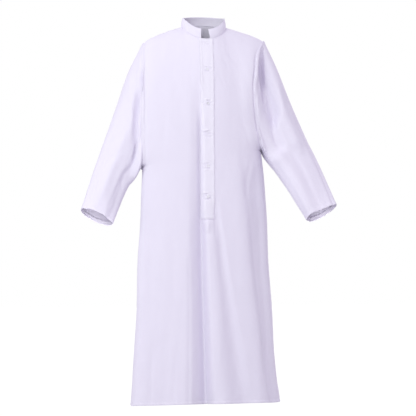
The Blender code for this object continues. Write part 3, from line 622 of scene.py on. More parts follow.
def crease_offset(creases, across, along, across_scale=1.0, along_scale=1.0, ring=False):
    """How far creases move the cloth outwards: soft troughs and ridges that fade at their ends."""
    total = np.zeros_like(across)
    for crease in creases:
        run_x = (crease.across_end - crease.across) * across_scale
        run_z = (crease.along_end - crease.along) * along_scale
        away_x = across - crease.across
        away_x = (wrapped(away_x) if ring else away_x) * across_scale
        away_z = (along - crease.along) * along_scale
        size = math.hypot(run_x, run_z)
        inside = clamp((away_x * run_x + away_z * run_z) / size**2)
        side = (away_z * run_x - away_x * run_z) / size - crease.bow * 4.0 * inside * (1.0 - inside)
        total += crease.depth * np.sin(np.pi * inside) ** CREASE_END * bell(side, crease.width)
    return total


def seam_offset(away):
    """A seam's ditch, with the soft ridge of its turned edges beside it."""
    ridge = SEAM_RIDGE * bell(away - SEAM_RIDGE_PLACE, SEAM_RIDGE_WIDTH)
    return SEAM_DITCH * (ridge - bell(away, SEAM_DITCH_WIDTH))


def roll_offset(away, height, side):
    """The soft ridge of an armhole's seam, with a trough on the panel's side of it. The left ridge
    stands at its top only, and below it the trough, most of it down the chest, runs into the seam."""
    left = side > 0
    ridge = np.where(
        left, ARMHOLE_ROLL_LEFT * ease((height - ARMHOLE_ROLL_LEFT_FOOT) / 0.06), ARMHOLE_ROLL_RIGHT)
    down = ease((-0.06 - height) / 0.08) * ease((height + 0.50) / 0.10)
    trough = np.where(left, ARMHOLE_TROUGH_LEFT * down, ARMHOLE_TROUGH_RIGHT)
    low_place = mix(ARMHOLE_TROUGH_PLACE, ARMHOLE_TROUGH_LOW_PLACE, ease((-0.20 - height) / 0.06))
    place = np.where(left, low_place, ARMHOLE_TROUGH_PLACE)
    return ridge * bell(away, ARMHOLE_ROLL_WIDTH) - trough * bell(away - place, ARMHOLE_TROUGH_WIDTH)


def pucker_offset(away, along, depth, reach, seed):
    """Small uneven gathers that run away from a line of stitches."""
    level = along * 0.0
    large, small = (
        uneven(along, level, size, 1.0, seed + number) for number, size in enumerate(PUCKER_SIZES))
    return depth * (large + 0.5 * small) * bell(away, reach)


def stitched_offset(away, times=1.0):
    """The trough that a line of stitches pulls into the cloth."""
    return -times * STITCH_TROUGH * bell(away, STITCH_TROUGH_WIDTH)


def hem_offset(hem, up, across, seed):
    """A hem's line of stitches, its puckers and the swell of the cloth turned up under it."""
    swell = HEM_SWELL * bell(up - hem.swell_place, hem.swell_reach)
    return (stitched_offset(up - hem.depth) + swell
            + pucker_offset(up - hem.depth, across, HEM_PUCKER, hem.pucker_reach, seed))


def body_detail(points, columns, face, creases):
    """The front or the back with its seams, hem and creases, and its lengths across and along."""
    across, along = lengths(points, 1), lengths(points, 0)
    middle = np.argmin(np.abs(columns))
    across = across - across[:, middle:middle + 1]
    height = points[..., 2]
    to_side = np.minimum(across - across[:, :1], across[:, -1:] - across)
    to_top = along[-1:] - along
    on_shoulder = ease((np.abs(columns) - NECK_COLUMN) / 2.0)
    foot = np.where(columns > 0.0, ARMHOLE_FOOT_LEFT, ARMHOLE_FOOT_RIGHT)
    push = mix(seam_offset(to_side), roll_offset(to_side, height, columns), ease((height - foot) / 0.06))
    push += seam_offset(to_top) * on_shoulder
    push += pucker_offset(to_side, along, SEAM_PUCKER, 0.011, 3 + face)
    push += pucker_offset(to_top, across, SEAM_PUCKER, 0.009, 5 + face) * on_shoulder
    push += pucker_offset(to_top, across, SEAM_PUCKER, 0.008, 9 + face) * (1.0 - on_shoulder)
    push += hem_offset(SKIRT_HEM, along, across, 11 + face)
    push += HEM_WAVE * uneven(across, along, 0.034, 0.20, 15 + face) * bell(along, 0.055)
    push += crease_offset(creases, across, height)
    push += SLACK * uneven(across, height, 0.028, 0.30, 21 + face) * clamp((-0.30 - height) / 0.5)
    push += BLOTCH * uneven(across, height, 0.022, 0.060, 25 + face)
    return points + normals_of(points) * -face * spread(push), across, along


def with_turned_hem(points, across, along, outward, depth):
    """Adds the cloth that is turned up inside a lower edge, from its raw edge down to the fold."""
    count = int(np.sum(along[:, along.shape[1] // 2] < depth))
    up = slice(count, 0, -1)
    down = unit(points[0] - points[1])
    fold = [points[0] + (down * drop - outward[0] * sink) * TURNED_GAP for sink, drop, _ in HEM_TURN]
    return (
        np.concatenate([points[up] - outward[up] * TURNED_GAP, fold, points]),
        np.concatenate([across[up], [across[0]] * len(HEM_TURN), across]),
        np.concatenate([-along[up], [along[0] - back for _, _, back in HEM_TURN], along]),
    )


def sleeve_fold_offset(folds, share, angle):
    """How far the main folds of a sleeve move its cloth outwards."""
    total = np.zeros_like(angle)
    for fold in folds:
        along = (share - fold.start) / (fold.end - fold.start)
        away = wrapped(angle - mix(fold.start_angle, fold.end_angle, along))
        total += fold.depth * faded(share, fold.start, fold.end, SLEEVE_FADE) * fold_shape(away, fold.width)
    return total


def sleeve_rings(sections, shares, turns, folds):
    """Rings of a sleeve, square to the arm, with its main folds."""
    share, turn = np.meshgrid(shares, turns, indexing="ij")
    outer, inner = read(sections, "outer", share), read(sections, "inner", share)

    def middle(place):
        return read(sections, "outer", place) + read(sections, "inner", place)

    before, after = np.maximum(share - SLEEVE_STEP, 0.0), np.minimum(share + SLEEVE_STEP, 1.0)
    along = unit(middle(after) - middle(before))
    across = outer - inner
    forward = unit(np.cross(across, along))
    forward = np.where(forward[..., 1:2] > 0.0, -forward, forward)
    cosine, sine = spread(np.cos(turn)), spread(np.sin(turn))
    outward = unit(-unit(across) * cosine + forward * sine)
    depth = spread(read(sections, "depth", share))
    place = (outer + inner) / 2.0 - across / 2.0 * cosine + forward * (depth / 2.0 * sine)
    return place + outward * spread(sleeve_fold_offset(folds, share, np.degrees(turn)))


def armhole_loop(panels, side):
    """The armhole's edge, and the way the sleeve's cloth leaves it, at turns from under the arm, up
    its front, over the shoulder and down its back."""
    steps = SLEEVE_TURNS // 2
    low = LOWER_ROWS + UPPER_ROWS * (ARMHOLE_LOW_LEFT if side > 0 else ARMHOLE_LOW_RIGHT)
    rows = np.interp(np.linspace(0.0, 13.0, steps + 1), [0.0, 11.0, 12.0, 13.0], [low, 31.0, 31.87, 32.0])
    outward = unit(np.array([side, 0.0, UNDERARM_DROP]))
    places = (-1, -6) if side > 0 else (0, 5)
    halves = []
    for panel, panel_rows in panels:
        edge, inner = (resampled(panel[:, place], panel_rows, rows, 0) for place in places)
        turn = ease((rows - low) / UNDERARM_ROWS)
        halves.append((edge, unit(mix(outward[None], unit(edge - inner), spread(turn)))))
    edge, way = (np.concatenate([front, back[-2:0:-1]]) for front, back in zip(*halves))
    (_, front_way), (_, back_way) = halves
    way[0] = unit(front_way[0] + back_way[0])
    way[steps] = unit(front_way[-1] + back_way[-1])
    return edge, way


def sleeve_sheet(panels, side, sections, folds):
    """A sleeve's points from the armhole to the cuff, each ring from under the arm by the front."""
    edge, way = armhole_loop(panels, side)
    turns = np.arange(SLEEVE_TURNS) * 2.0 * np.pi / SLEEVE_TURNS
    plain = sleeve_rings(sections, np.zeros(1), turns, ())
    rings = sleeve_rings(sections, np.linspace(0.0, 1.0, SLEEVE_RINGS + 1), turns, folds)
    rings[0] = plain[0]
    keep = 1.0 - ease(lengths(rings, 0) / ARMHOLE_REACH)
    rings = rings + (edge + way * SEAM_START - plain[0])[None] * spread(keep)
    seam = np.array([edge + way * step for step in SEAM_WAY])
    return np.concatenate([seam, relax(rings, SLEEVE_RELAXING, ring=True)])


def ring_lengths(points):
    """How far each point is round its ring, with the closing point, and along from the first ring."""
    full = np.concatenate([points, points[:, :1]], axis=1)
    return lengths(full, 1), lengths(full, 0)


def sleeve_detail(points, creases, side, seed):
    """A sleeve with its seams, creases and cuff's stitching."""
    round_it, along = ring_lengths(points)
    girth = round_it[:, -1:]
    round_it, along = round_it[:, :-1], along[:, :-1]
    to_seam = np.minimum(round_it, girth - round_it)
    seam = seam_offset(to_seam) + pucker_offset(to_seam, along, SEAM_PUCKER, 0.010, seed)
    push = seam * ease(along / 0.012) + roll_offset(-along, points[..., 2], side)
    push += pucker_offset(along, round_it, SLEEVE_HEAD_PUCKER, 0.014, seed + 2) * ease(along / 0.006)
    push += hem_offset(CUFF_HEM, along[-1:] - along, round_it, seed + 4)
    turn = round_it / girth * 360.0
    push += ease(along / 0.004) * crease_offset(
        creases, turn, along / along[-1:], CREASE_GIRTH / 360.0, along[-1].mean(), ring=True)
    push += SLEEVE_SLACK * uneven(turn / 360.0 * 16.0, along, 1.0, 0.11, seed + 6) * ease(along / 0.05)
    outward = normals_of(points, ring=True)
    outward = outward * np.sign(np.sum((points - points.mean(axis=1, keepdims=True)) * outward))
    return points + outward * spread(push), outward


def with_seam_allowance(points, outward):
    """A sleeve with the cloth beyond its armhole's seam, tucked under the body's panels."""
    beyond = points[0] + unit(points[0] - points[1]) * SEAM_ALLOWANCE - outward[0] * SEAM_ALLOWANCE_SINK
    return np.concatenate([beyond[None], points]), np.concatenate([outward[:1], outward])


def collar_sheet():
    """The collar's points, from its lower edge up, and from its right end round to its left one."""
    share = np.linspace(0.0, 1.0, COLLAR_STEPS + 1)
    behind = mix(-90.0, 90.0, np.linspace(0.0, 1.0, 2 * COLLAR_STEPS + 1))[:-1]
    face = np.repeat([FRONT, BACK, FRONT], [COLLAR_STEPS, 2 * COLLAR_STEPS, COLLAR_STEPS + 1])
    low, high = (
        opening_point(
            edge, np.concatenate([mix(right, -90.0, share[:-1]), behind, mix(90.0, left, share)]), face)
        for edge, right, left in COLLAR_EDGES)
    reach = reach_of(low)
    even = np.linspace(0.0, reach[-1], round(reach[-1] / COLLAR_STEP) + 1)
    low, high = resampled(low, reach, even, 0), resampled(high, reach, even, 0)
    rows = np.linspace(0.0, 1.0, COLLAR_ROWS)[:, None, None]
    away = unit(low * np.array([1.0, 1.0, 0.0]))[None]
    points = mix(low[None], high[None], rows) + away * (COLLAR_BULGE * np.sin(np.pi * rows))
    across, along = lengths(points, 1), lengths(points, 0)
    to_top = along[-1:] - along
    inset = np.minimum(to_top, np.minimum(across, across[:, -1:] - across)) - COLLAR_STITCH_INSET
    push = stitched_offset(inset) + stitched_offset(along - COLLAR_SEAM_INSET)
    push += pucker_offset(inset, across, COLLAR_PUCKER, 0.004, 41)
    push += COLLAR_WAVE * uneven(across, along, 0.030, 0.02, 43) - COLLAR_SEAM_DITCH * bell(along, 0.0012)
    push += COLLAR_RIM * bell(to_top - 0.0008, 0.0016)
    outward = normals_of(points)
    outward = outward * np.sign(np.sum(outward * away))
    return points + outward * spread(push), across, along, outward


def placket_sheet(front, columns, rows):
    """The placket's points on the front, from its stitched end up and from its right edge across."""
    rise = UNDERARM_HEIGHT - HEM_HEIGHT - HEM_RISE
    first = LOWER_ROWS * (PLACKET_END - HEM_HEIGHT - HEM_RISE) / rise
    half, edge = PLACKET_WIDTH / 2.0, np.array(PLACKET_EDGE)
    inner = np.linspace(PLACKET_EDGE_REACH - half, half - PLACKET_EDGE_REACH, PLACKET_STEPS)
    places = np.concatenate([edge - half, inner, half - edge[::-1]])
    upward = np.linspace(first + PLACKET_EDGE_ROWS, TOP_ROWS[-2], PLACKET_ROWS)
    wanted = np.concatenate([first + edge / PLACKET_EDGE_ROWS, upward])
    points = resampled(front, columns, places / half * PLACKET_COLUMN, 1)
    points = relax(resampled(points, rows, wanted, 0), PLACKET_RELAXING)
    across, along = lengths(points, 1), lengths(points, 0)
    width = across[:, -1:]
    to_side, middle = np.minimum(across, width - across), across - width / 2.0
    inset = to_side - PLACKET_STITCH_INSET
    rounded = clamp(np.minimum(to_side, along) / PLACKET_ROUND)
    push = PLACKET_LIFT * np.sqrt(1.0 - (1.0 - rounded) ** 2) + stitched_offset(inset)
    push += pucker_offset(inset, along, PLACKET_PUCKER, 0.0045, 31)
    for place in PLACKET_END_STITCHES:
        push += stitched_offset(along - place, 2.0)
    for height in BUTTON_HEIGHTS:
        away, seed = points[..., 2] - height, round(-height * 100.0)
        pull = mix(BUTTON_PULL_TOP, BUTTON_PULL_LOW, clamp(height / BUTTON_HEIGHTS[-1]))
        near = pull * bell(middle, 0.016) * bell(away, 0.011)
        push += near * BUTTON_PUCKER * uneven(across, away, 0.010, 0.0055, 33 + seed)
        push -= BUTTON_DENT * bell(middle, 0.006) * bell(away, 0.007)
        size = pull * bell(middle, 0.014) * (1.0 + 0.4 * uneven(across, away, 0.012, 0.008, 51 + seed))
        for crease in BUTTON_CREASES:
            off = away - crease.tilt * middle - crease.rise
            push += crease.depth * size * bell(off, BUTTON_CREASE_WIDTH)
    push += PLACKET_WAVE * uneven(across, along, 0.016, 0.030, 35)
    push += PLACKET_ROLL * (bell(across - 0.004, 0.0045) + 0.5 * bell(width - across - 0.004, 0.0045))
    return points + normals_of(points) * spread(push), across, along


def line_at(points, outward, places):
    """A line of stitches through a grid, at (row, column) places given as fractions."""
    row, column = np.array(places).T
    low_row, low_column = np.floor(row).astype(int), np.floor(column).astype(int)
    high_row = np.minimum(low_row + 1, points.shape[0] - 1)
    high_column = np.minimum(low_column + 1, points.shape[1] - 1)
    along, across = spread(row - low_row), spread(column - low_column)

    def sampled(grid):
        low = mix(grid[low_row, low_column], grid[low_row, high_column], across)
        high = mix(grid[high_row, low_column], grid[high_row, high_column], across)
        return mix(low, high, along)

    return sampled(points), unit(sampled(outward))


def places_between(first, last, steps):
    """Places on a grid on the way from one to another."""
    return mix(np.array(first), np.array(last), spread(steps))


def collar_stitch_lines(points, across, along, outward):
    """One line of stitches round the collar's edge and one above its seam."""
    rows, columns = points.shape[:2]
    top, length = along[-1].mean(), across[0, -1]
    high = (1.0 - COLLAR_STITCH_INSET / top) * (rows - 1)
    low = COLLAR_SEAM_INSET / top * (rows - 1)
    inset = COLLAR_STITCH_INSET / length * (columns - 1)
    end = columns - 1 - inset
    steps = np.linspace(0.0, 1.0, 500)
    edge = np.concatenate([
        places_between((low, inset), (high, inset), steps[::10]),
        places_between((high, inset), (high, end), steps[1:]),
        places_between((high, end), (low, end), steps[10::10])])
    seam = places_between((low, inset), (low, end), steps)
    return [line_at(points, outward, line) for line in (edge, seam)]


def placket_stitch_lines(points, across, along, outward):
    """A line of stitches along each edge of the placket and two across its end."""
    rows, columns = points.shape[:2]
    height, width = along[:, columns // 2], across[rows // 2]
    insets = (PLACKET_STITCH_INSET, width[-1] - PLACKET_STITCH_INSET)
    sides = [np.interp(place, width, np.arange(columns)) for place in insets]
    ends = [np.interp(place, height, np.arange(rows)) for place in PLACKET_END_STITCHES]
    steps = np.linspace(0.0, 1.0, 400)
    lines = [places_between((ends[0], side), (rows - 1.0, side), steps) for side in sides]
    lines += [places_between((end, sides[0]), (end, sides[1]), steps[::8]) for end in ends]
    return [line_at(points, outward, line) for line in lines]


def tube(middle, side, up, size, count, ring=False):
    """The points and the faces of a tube round a line."""
    turns = np.arange(count) * 2.0 * np.pi / count
    around = spread(np.cos(turns)) * side[..., None, :] + spread(np.sin(turns)) * up[..., None, :]
    points = middle[:, None] + around * size[:, None, None]
    low = np.arange(len(middle) - (0 if ring else 1))[:, None] * count
    high = (low + count) % (len(middle) * count)
    turn, after = np.arange(count), (np.arange(count) + 1) % count
    faces = np.stack([low + turn, low + after, high + after, high + turn], axis=-1)
    return points.reshape(-1, 3), faces.reshape(-1, 4)


def smooth_mesh(name, points, faces, material):
    mesh = bpy.data.meshes.new(name)
    mesh.from_pydata(np.asarray(points).reshape(-1, 3).tolist(), [], np.asarray(faces).tolist())
    mesh.materials.append(material)
    mesh.shade_smooth()
    mesh.update()
    return mesh


def tubes_mesh(name, tubes, material):
    """Several tubes as one mesh."""
    starts = np.cumsum([0] + [len(points) for points, _ in tubes])
    faces = [faces + start for (_, faces), start in zip(tubes, starts)]
    points = np.concatenate([points for points, _ in tubes])
    return smooth_mesh(name, points, np.concatenate(faces), material)


def add_object(name, data):
    item = bpy.data.objects.new(name, data)
    bpy.context.scene.collection.objects.link(item)
    return item


def add_piece(name, mesh, matrix=None):
    """A piece that rides with the robe."""
    piece = add_object(name, mesh)
    if matrix is not None:
        piece.matrix_world = matrix
    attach(piece, "root")
    return piece


def add_cloth(node, points, across, along, material, flip=False, ring=False):
    """A sheet of cloth on a grid in a solid's place, with its own lengths in metres as its texture's
    coordinates."""
    index = np.arange(points.shape[0] * points.shape[1]).reshape(points.shape[:2])
    if ring:
        index = np.concatenate([index, index[:, :1]], axis=1)
    corner = np.arange(index.size).reshape(index.shape)

    def quads(grid):
        faces = np.stack([grid[:-1, :-1], grid[:-1, 1:], grid[1:, 1:], grid[1:, :-1]], axis=-1)
        return faces.reshape(-1, 4)[:, ::-1] if flip else faces.reshape(-1, 4)

    name = f"{node}_cloth"
    piece = add_piece(name, smooth_mesh(name, points, quads(index), material))
    places = np.stack([across, along], axis=-1).reshape(-1, 2)[quads(corner).reshape(-1)]
    piece.data.uv_layers.new(name="cloth").data.foreach_set("uv", places.astype(np.float32).reshape(-1))
    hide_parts(node)
    return piece


def add_stitches(name, lines, material):
    """Short threads along lines of points, each with the cloth's outward way at the points."""
    share, rise, size = np.array(STITCH_SECTIONS).T
    tubes = []
    for line, outward in lines:
        reach = reach_of(line)

        def at(values, places):
            return np.stack([np.interp(places, reach, values[:, axis]) for axis in range(3)], axis=-1)

        count = int(reach[-1] // (STITCH_LENGTH + STITCH_GAP))
        for number in range(count):
            first = (number + 0.5) * reach[-1] / count - STITCH_LENGTH / 2.0
            middle, up = at(line, first + share * STITCH_LENGTH), unit(at(outward, first))
            side = np.cross(unit(middle[-1] - middle[0]), up)
            tubes.append(tube(middle + up * spread(rise), side, up, size * THREAD_RADIUS, 6))
    add_piece(name, tubes_mesh(name, tubes, material))


def evaluated_mesh_of(piece):
    graph = bpy.context.evaluated_depsgraph_get()
    return bpy.data.meshes.new_from_object(piece.evaluated_get(graph))


def button_mesh(material):
    """A dished button with four holes, lying on z = 0."""
    outline = bpy.data.meshes.new("button_outline")
    points = [(BUTTON_RADIUS * across, 0.0, BUTTON_THICKNESS * up) for across, up in BUTTON_PROFILE]
    outline.from_pydata(points, [(index, index + 1) for index in range(len(points) - 1)], [])
    button = add_object("button_body", outline)
    turned = button.modifiers.new("turned", "SCREW")
    turned.steps = turned.render_steps = BUTTON_SIDES
    turned.use_merge_vertices = turned.use_normal_calculate = True
    turned.merge_threshold = 0.00001
    button.data = evaluated_mesh_of(button)
    button.modifiers.clear()
    for across, up in ((-1, -1), (-1, 1), (1, -1), (1, 1)):
        bpy.ops.mesh.primitive_cylinder_add(
            vertices=20, radius=BUTTON_HOLE_RADIUS, depth=BUTTON_THICKNESS * 4.0,
            location=(across * BUTTON_HOLE_PLACE, up * BUTTON_HOLE_PLACE, 0.0))
        drill = bpy.context.object
        hole = button.modifiers.new("hole", "BOOLEAN")
        hole.operation, hole.object, hole.solver = "DIFFERENCE", drill, "EXACT"
        button.data = evaluated_mesh_of(button)
        button.modifiers.clear()
        bpy.data.objects.remove(drill, do_unlink=True)
    mesh = button.data
    bpy.data.objects.remove(button, do_unlink=True)
    mesh.materials.clear()
    mesh.materials.append(material)
    mesh.shade_smooth()
    return mesh


def thread_mesh(material):
    """The two bars of thread that cross a button's holes."""
    share, up = np.linspace(-1.0, 1.0, 7), np.array([0.0, 0.0, 1.0])
    bars = []
    for sign in (-1.0, 1.0):
        height = BUTTON_THICKNESS * (0.62 - 0.30 * share**4) + 0.00012 * sign
        middle = np.stack([share * BUTTON_HOLE_PLACE, sign * share * BUTTON_HOLE_PLACE, height], axis=-1)
        side = np.cross(unit(np.array([1.0, sign, 0.0])), up)
        bars.append(tube(middle, side, up, BUTTON_THREAD_RADIUS * (1.0 - 0.35 * share**6), 8))
    return tubes_mesh("button_thread", bars, material)


def add_buttons(placket, outward, button_material, thread_material):
    """Sets the buttons on the middle of the placket at their heights."""
    middle = placket.shape[1] // 2
    button, thread = button_mesh(button_material), thread_mesh(thread_material)
    for number, height in enumerate(BUTTON_HEIGHTS, 1):
        index = int(np.argmin(np.abs(placket[:, middle, 2] - height)))
        normal = unit(outward[index - 6:index + 7, middle - 2:middle + 3].reshape(-1, 3).mean(axis=0))
        side = unit(np.cross(unit(placket[index + 3, middle] - placket[index - 3, middle]), normal))
        place = np.append(placket[index, middle, :2], height) + normal * BUTTON_SEAT
        matrix = np.eye(4)
        matrix[:3] = np.stack([side, np.cross(normal, side), normal, place], axis=-1)
        matrix = Matrix(matrix.tolist())
        dish = add_piece(f"button_{number}_dish", button, matrix)
        add_piece(f"button_{number}_thread", thread, matrix)
        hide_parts(f"button_{number}")


def add_buttonholes(placket, outward, material):
    """The corded edge of each button's hole, across the placket under its button."""
    middle = placket.shape[1] // 2
    heights = placket[:, middle, 2]
    turns = np.linspace(0.0, 2.0 * np.pi, BUTTONHOLE_STEPS, endpoint=False)
    half = BUTTONHOLE_WIDTH / 2.0
    across = np.copysign(BUTTONHOLE_LENGTH / 2.0 - BUTTONHOLE_WIDTH, np.cos(turns)) + half * np.cos(turns)
    size = BUTTONHOLE_THREAD * (1.0 + 0.10 * np.cos(turns * BUTTONHOLE_STEPS / 2.0))
    tubes = []
    for height in BUTTON_HEIGHTS:
        index = int(np.argmin(np.abs(heights - height)))
        rise = half * np.sin(turns) / (heights[index + 1] - heights[index])
        width = reach_of(placket[index])
        column = np.interp(width[middle] + across, width, np.arange(placket.shape[1]))
        places = np.stack([np.clip(index + rise, 0, len(heights) - 1), column], axis=-1)
        line, up = line_at(placket, outward, places)
        side = np.cross(unit(np.roll(line, -1, axis=0) - np.roll(line, 1, axis=0)), up)
        tubes.append(tube(line, side, up, size, 8, ring=True))
    add_piece("buttonholes", tubes_mesh("buttonholes", tubes, material))


def fill_inputs(tree, node, inputs):
    """Sets each of a node's inputs to a value, or links it to another node's output."""
    for name, value in inputs.items():
        if isinstance(value, bpy.types.NodeSocket):
            tree.links.new(value, node.inputs[name])
        else:
            node.inputs[name].default_value = value


def add_node(tree, kind, output, inputs, **settings):
    """The output of a new shader node."""
    node = tree.nodes.new(f"ShaderNode{kind}")
    for name, value in settings.items():
        setattr(node, name, value)
    fill_inputs(tree, node, inputs)
    return node.outputs[output]


def add_material(name):
    """A new material with its node tree and its main shader."""
    material = bpy.data.materials.new(name)
    material.use_nodes = True
    return material, material.node_tree, material.node_tree.nodes["Principled BSDF"]


def toned(tree, share, colour, darkest, low, high):
    """A colour that is a little darker where the share is low."""
    node = tree.nodes.new("ShaderNodeValToRGB")
    for stop, place, level in zip(node.color_ramp.elements, (low, high), (darkest, 1.0)):
        stop.position, stop.color = place, (*[value * level for value in colour], 1.0)
    tree.links.new(share, node.inputs["Fac"])
    return node.outputs["Color"]


def bumped(tree, height, strength, distance, **inputs):
    inputs |= {"Height": height, "Strength": strength, "Distance": distance}
    return add_node(tree, "Bump", "Normal", inputs)


def cloth_material(name, colour, seed):
    """Plain-woven light cloth: a fine weave, slubs, a soft sheen and slightly uneven colour."""
    material, tree, shader = add_material(name)
    place = add_node(tree, "UVMap", "UV", {}, uv_map="cloth")
    shift = (seed * 0.37, seed * 0.61, seed * 1.0)

    def scaled(x, y):
        inputs = {"Vector": place, "Location": shift, "Scale": (x, y, 1.0)}
        return add_node(tree, "Mapping", "Vector", inputs)

    def noise(x, y, detail):
        return add_node(tree, "TexNoise", "Fac", {"Vector": scaled(x, y), "Scale": 1.0, "Detail": detail})

    def threads(direction):
        inputs = {"Vector": scaled(*WEAVE_SCALE), "Scale": 1.0, "Distortion": 0.6, "Detail": 0.0}
        return add_node(tree, "TexWave", "Fac", inputs, wave_type="BANDS", bands_direction=direction)

    def combine(operation, first, second):
        return add_node(tree, "Math", "Value", {0: first, 1: second}, operation=operation)

    patches, flecks = noise(22.0, 9.0, 3.0), noise(2400.0, 170.0, 2.0)
    blend = combine("ADD", combine("MULTIPLY", patches, 0.55), combine("MULTIPLY", flecks, 0.45))
    weave = bumped(tree, combine("ADD", threads("X"), threads("Y")), 0.35, 0.00008)
    slub = bumped(tree, noise(520.0, 90.0, 3.0), 0.5, 0.00022, Normal=weave)
    fill_inputs(tree, shader, {
        "Base Color": toned(tree, blend, colour, 0.975, 0.30, 0.70), "Normal": slub, "Roughness": 0.82,
        "Specular IOR Level": 0.25, "Sheen Weight": 0.22, "Sheen Roughness": 0.45,
        "Sheen Tint": (0.96, 0.94, 1.0, 1.0)})
    return material


def plain_material(name, colour, roughness, grain_scale):
    """A smooth material with a fine unevenness, for buttons and thread."""
    material, tree, shader = add_material(name)
    place = add_node(tree, "TexCoord", "Object", {})
    grain = add_node(tree, "TexNoise", "Fac", {"Vector": place, "Scale": grain_scale, "Detail": 4.0})
    fill_inputs(tree, shader, {
        "Base Color": toned(tree, grain, colour, 0.94, 0.0, 1.0),
        "Normal": bumped(tree, grain, 0.25, 0.0001), "Roughness": roughness})
    return material


def show_to_camera(tree, output, hidden, shown):
    """Has the camera see one shader, and everything else another."""
    ray = add_node(tree, "LightPath", "Is Camera Ray", {})
    choice = add_node(tree, "MixShader", "Shader", {"Fac": ray, 1: hidden, 2: shown})
    tree.links.new(choice, tree.nodes[output].inputs["Surface"])


def add_studio():
    """A plain pale floor, a white room and soft lights, the strongest from the viewer's left."""
    scene = bpy.context.scene
    scene.view_settings.view_transform = "Standard"
    scene.world = bpy.data.worlds.new("studio")
    scene.world.use_nodes = True
    tree = scene.world.node_tree
    fill = tree.nodes["Background"]
    fill_inputs(tree, fill, {"Color": (*FILL_COLOUR, 1.0), "Strength": FILL_STRENGTH})
    white = add_node(tree, "Background", "Background", {"Color": (1.0, 1.0, 1.0, 1.0), "Strength": 1.0})
    show_to_camera(tree, "World Output", fill.outputs["Background"], white)

    half = FLOOR_SIZE / 2.0
    corners = [(half * x, half * y, FLOOR_HEIGHT) for x, y in ((-1, -1), (1, -1), (1, 1), (-1, 1))]
    mesh = bpy.data.meshes.new("floor")
    mesh.from_pydata(corners, [], [(0, 1, 2, 3)])
    material, tree, shader = add_material("floor_white")
    fill_inputs(tree, shader, {
        "Base Color": (*FLOOR_COLOUR, 1.0), "Roughness": 1.0, "Specular IOR Level": 0.0})
    glow = add_node(tree, "Emission", "Emission", {"Strength": FLOOR_GLOW})
    show_to_camera(tree, "Material Output", shader.outputs["BSDF"], glow)
    mesh.materials.append(material)
    add_object("floor", mesh)

    for row in LIGHTS:
        light = bpy.data.lights.new(row.name, "AREA")
        light.shape, light.size, light.energy, light.color = "DISK", row.size, row.power, row.colour
        light.spread = math.radians(row.opening)
        lamp = add_object(row.name, light)
        lamp.location = row.place
        lamp.rotation_euler = (Vector(row.target) - Vector(row.place)).to_track_quat("-Z", "Y").to_euler()


def add_camera():
    """Level with the robe's middle, a little to the viewer's left of its front."""
    camera = bpy.data.cameras.new("camera")
    camera.sensor_width = 36.0
    camera.lens = camera.sensor_width * CAMERA_DISTANCE / CAMERA_FIELD
    camera.clip_start, camera.clip_end = 0.1, 60.0
    eye = add_object("camera", camera)
    turn = math.radians(CAMERA_TURN)
    ahead = Vector((math.sin(turn), math.cos(turn), 0.0))
    aside = Vector((math.cos(turn), -math.sin(turn), 0.0))
    eye.location = aside * CAMERA_SHIFT + Vector((0.0, 0.0, CAMERA_HEIGHT)) - ahead * CAMERA_DISTANCE
    eye.rotation_euler = ahead.to_track_quat("-Z", "Y").to_euler()
    bpy.context.scene.camera = eye


def add_body(cloth, thread):
    """The front and the back. Gives each one's plain and detailed points, columns and rows."""
    sheets = []
    for name, face, creases, column_step, row_step in (
        ("front", FRONT, FRONT_CREASES, FRONT_COLUMN_STEP, FRONT_ROW_STEP),
        ("back", BACK, BACK_CREASES, BACK_COLUMN_STEP, BACK_ROW_STEP),
    ):
        plain, columns, rows = body_sheet(face, column_step, row_step)
        points, across, along = body_detail(plain, columns, face, creases)
        sheets.append((plain, points, columns, rows))
        outward = normals_of(points) * -face
        hem = int(np.argmin(np.abs(along[:, along.shape[1] // 2] - SKIRT_HEM.depth)))
        full = with_turned_hem(points, across, along, outward, SKIRT_HEM.depth)
        add_cloth(name, *full, cloth, flip=face == BACK)
        add_stitches(f"{name}_hem_stitches", [(points[hem], outward[hem])], thread)
    return sheets


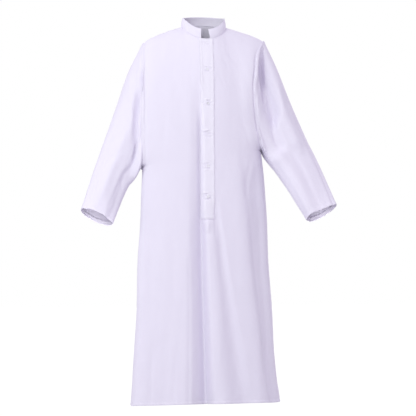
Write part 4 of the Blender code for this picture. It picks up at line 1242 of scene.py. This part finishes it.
def add_sleeves(panels, cloth, thread):
    for side, name, sections, folds, creases in (
        (-1, "sleeve_right", RIGHT_SLEEVE, RIGHT_SLEEVE_FOLDS, RIGHT_SLEEVE_CREASES),
        (1, "sleeve_left", LEFT_SLEEVE, LEFT_SLEEVE_FOLDS, LEFT_SLEEVE_CREASES),
    ):
        plain = sleeve_sheet(panels, side, sections, folds)
        points, outward = with_seam_allowance(*sleeve_detail(plain, creases, side, 60 + side))
        across, along = ring_lengths(points)
        to_cuff = along[-1:] - along
        hem = int(np.argmin(np.abs(to_cuff[:, :-1] - CUFF_HEM.depth).mean(axis=1)))
        full, full_across, full_along = with_turned_hem(
            points[::-1], across[::-1, :-1], to_cuff[::-1, :-1], outward[::-1], CUFF_HEM.depth)
        full_across = np.concatenate([full_across, full_across[:, :1] + across[-1, -1]], axis=1)
        full_along = np.concatenate([full_along, full_along[:, :1]], axis=1)
        add_cloth(name, full, full_across, full_along, cloth, flip=side < 0, ring=True)
        line = [np.concatenate([rows[hem], rows[hem][:1]]) for rows in (points, outward)]
        add_stitches(f"{name}_cuff_stitches", [line], thread)


def main():
    cloth = cloth_material("cassock_cloth", WHITE_CLOTH, 1)
    double_cloth = cloth_material("placket_cloth", PLACKET_CLOTH, 2)
    thread = plain_material("thread", WHITE_THREAD, 0.6, 1400.0)
    button = plain_material("button_resin", WHITE_BUTTON, 0.28, 300.0)

    body = add_body(cloth, thread)
    add_sleeves([(plain, rows) for plain, _, _, rows in body], cloth, thread)

    points, across, along, outward = collar_sheet()
    collar = add_cloth("collar", points, across, along, cloth)
    wall = collar.modifiers.new("layers", "SOLIDIFY")
    wall.thickness, wall.offset, wall.use_even_offset = COLLAR_THICKNESS, -1.0, True
    rim = collar.modifiers.new("folded edges", "BEVEL")
    rim.width, rim.segments, rim.limit_method = COLLAR_EDGE_ROUND, 3, "ANGLE"
    lines = collar_stitch_lines(points, across, along, outward)
    add_stitches("collar_stitches", lines, thread)

    points, across, along = placket_sheet(*body[0][1:])
    outward = normals_of(points)
    add_cloth("placket", points, across, along, double_cloth)
    lines = placket_stitch_lines(points, across, along, outward)
    add_stitches("placket_stitches", lines, thread)
    add_buttonholes(points, outward, thread)
    add_buttons(points, outward, button, thread)

    add_studio()
    add_camera()


main()
